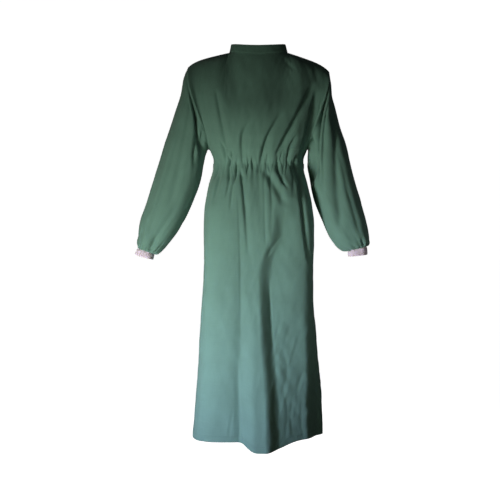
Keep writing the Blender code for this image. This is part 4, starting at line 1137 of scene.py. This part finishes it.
def poplin_material(name, colour):
    """Plain-woven cotton: crossed threads, slubs along warp and weft, soft crumples and a faint sheen."""
    material, tree = new_material(name)
    x, y, place, uv = texture_places(tree)
    waves = [maths(tree, "SINE", maths(tree, "MULTIPLY", axis, math.pi / WEAVE)) for axis in (x, y)]
    weave_height = maths(tree, "MULTIPLY", *waves)
    warp = noise(tree, stretched(tree, uv, (900.0, 22.0, 1.0)), 1.0, 2.0)
    weft = noise(tree, stretched(tree, uv, (18.0, 800.0, 1.0)), 1.0, 2.0)
    slubs = maths(tree, "MULTIPLY", maths(tree, "ADD", warp, weft), 0.5)
    patches = noise(tree, place, 14.0, 4.0)
    tone = maths(tree, "ADD", maths(tree, "MULTIPLY", slubs, 0.55), maths(tree, "MULTIPLY", patches, 0.45))
    normal = bump(tree, noise(tree, place, 55.0, 5.0, 0.6), 0.0012, 0.35)
    normal = bump(tree, slubs, 0.00025, 0.5, Normal=normal)
    normal = bump(tree, weave_height, 0.00006, 0.5, Normal=normal)
    looks = {
        "Base Color": vary(tree, colour, 0.34, tone),
        "Normal": normal,
        "Roughness": 0.82,
        "Specular IOR Level": 0.30,
        "Sheen Weight": 0.18,
        "Sheen Roughness": 0.55,
        "Sheen Tint": (0.75, 0.90, 0.85, 1.0),
    }
    return finish_material(material, looks)


def knit_material(name, colour):
    """Knitted cotton: small loops down each rib and a little fuzz."""
    material, tree = new_material(name)
    x, y, place = texture_places(tree)[:3]
    lean = maths(tree, "ABSOLUTE", maths(tree, "SINE", maths(tree, "MULTIPLY", x, math.pi / LOOP_WIDTH)))
    down = maths(tree, "MULTIPLY", y, 2 * math.pi / LOOP_LENGTH)
    loops = maths(tree, "SINE", maths(tree, "ADD", down, maths(tree, "MULTIPLY", lean, 2.4)))
    fuzz = noise(tree, place, 900.0, 4.0, 0.7)
    tone = maths(tree, "ADD", maths(tree, "MULTIPLY", loops, 0.16), maths(tree, "MULTIPLY", fuzz, 0.9))
    looks = {
        "Base Color": vary(tree, colour, 0.22, tone),
        "Normal": bump(tree, fuzz, 0.0003, 0.4, Normal=bump(tree, loops, 0.0003, 0.5)),
        "Roughness": 0.9,
        "Sheen Weight": 0.3,
        "Sheen Roughness": 0.6,
    }
    return finish_material(material, looks)


def thread_material(name, colour):
    material, tree = new_material(name)
    speckle = noise(tree, add_node(tree, "TexCoord", {}, "Object"), 400.0)
    return finish_material(material, {"Base Color": vary(tree, colour, 0.12, speckle), "Roughness": 0.7})


def soft_light(lamp):
    """A round soft lamp. Its cone, in degrees, fades all the way from its middle to its edge."""
    light = bpy.data.lights.new(lamp.name, "SPOT")
    light.energy = lamp.watts
    light.color = lamp.colour
    light.shadow_soft_size = lamp.size / 2
    light.spot_size = math.radians(lamp.cone)
    light.spot_blend = 1.0
    holder = add_object(lamp.name, light)
    holder.location = lamp.place
    ahead = np.array(lamp.aim) - np.array(lamp.place)
    flat = math.hypot(ahead[0], ahead[1])
    holder.rotation_euler = (math.atan2(flat, -ahead[2]), 0.0, math.atan2(ahead[1], ahead[0]) - math.pi / 2)


def make_camera():
    camera = bpy.data.cameras.new("camera")
    camera.sensor_width = SENSOR_MM
    camera.lens = SENSOR_MM * CAMERA_DISTANCE / FRAME_METRES
    holder = add_object("camera", camera)
    holder.location = (FRAME_CENTRE[0], -CAMERA_DISTANCE, CAMERA_HEIGHT)
    holder.rotation_euler = (math.pi / 2, 0.0, 0.0)
    camera.shift_y = (FRAME_CENTRE[1] - CAMERA_HEIGHT) / FRAME_METRES
    bpy.context.scene.camera = holder


def stage_piece(name, mesh):
    """A pale part of the studio that the camera sees and that throws no light of its own on the gown."""
    white = (1.0, 1.0, 1.0, 1.0)
    looks = {"Base Color": (0.8, 0.8, 0.8, 1.0), "Roughness": 1.0}
    looks.update({"Emission Color": white, "Emission Strength": 1.0})
    mesh.materials.append(finish_material(new_material(name)[0], looks))
    piece = add_object(name, mesh)
    piece.visible_diffuse = False
    piece.visible_glossy = False
    piece.visible_shadow = False


def make_studio():
    """A pale floor and surround, the lamps and a faint even light."""
    floor = bpy.data.meshes.new("floor")
    reach = 12.0
    level = HEM - FLOOR_DROP
    corners = [(-reach, -reach, level), (reach, -reach, level), (reach, reach, level), (-reach, reach, level)]
    floor.from_pydata(corners, [], [(0, 1, 2, 3)])
    stage_piece("floor", floor)
    surround = bpy.data.meshes.new("surround")
    shell = bmesh.new()
    bmesh.ops.create_icosphere(shell, subdivisions=4, radius=reach + 1)
    shell.to_mesh(surround)
    shell.free()
    surround.shade_smooth()
    stage_piece("surround", surround)
    world = bpy.data.worlds.new("studio")
    bpy.context.scene.world = world
    world.use_nodes = True
    background = world.node_tree.nodes["Background"]
    plug(world.node_tree, background, {"Color": WORLD_COLOUR, "Strength": WORLD_LIGHT})
    for lamp in LAMPS:
        soft_light(lamp)
    bpy.context.scene.view_settings.view_transform = "Standard"


def main():
    poplin = poplin_material("poplin", GOWN_GREEN)
    knit = knit_material("rib_knit", CUFF_LILAC)
    thread = thread_material("thread", THREAD_GREEN)
    make_camera()
    make_studio()
    collar, collar_grid, collar_normals = make_collar(poplin)
    waist_y = max(float(hoop("back", np.array(0.0), WAIST + rise)[1]) for rise in (-0.010, 0.010))
    collar_y = float(collar_ring(np.array(0.2), np.array(math.pi))[1])
    made = [
        collar,
        *make_panels(poplin),
        *make_arms(poplin, knit),
        *make_waist_tapes(poplin),
        *make_bow(WAIST_BOW, waist_y + BOW_LIFT, poplin),
        *make_bow(NECK_BOW, collar_y + COLLAR_CLOTH / 2 + GAP, poplin),
    ]
    for piece in made:
        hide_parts(piece.name.rsplit("_", 1)[0])
    stitches = make_stitches(collar_grid, collar_normals, thread)


main()
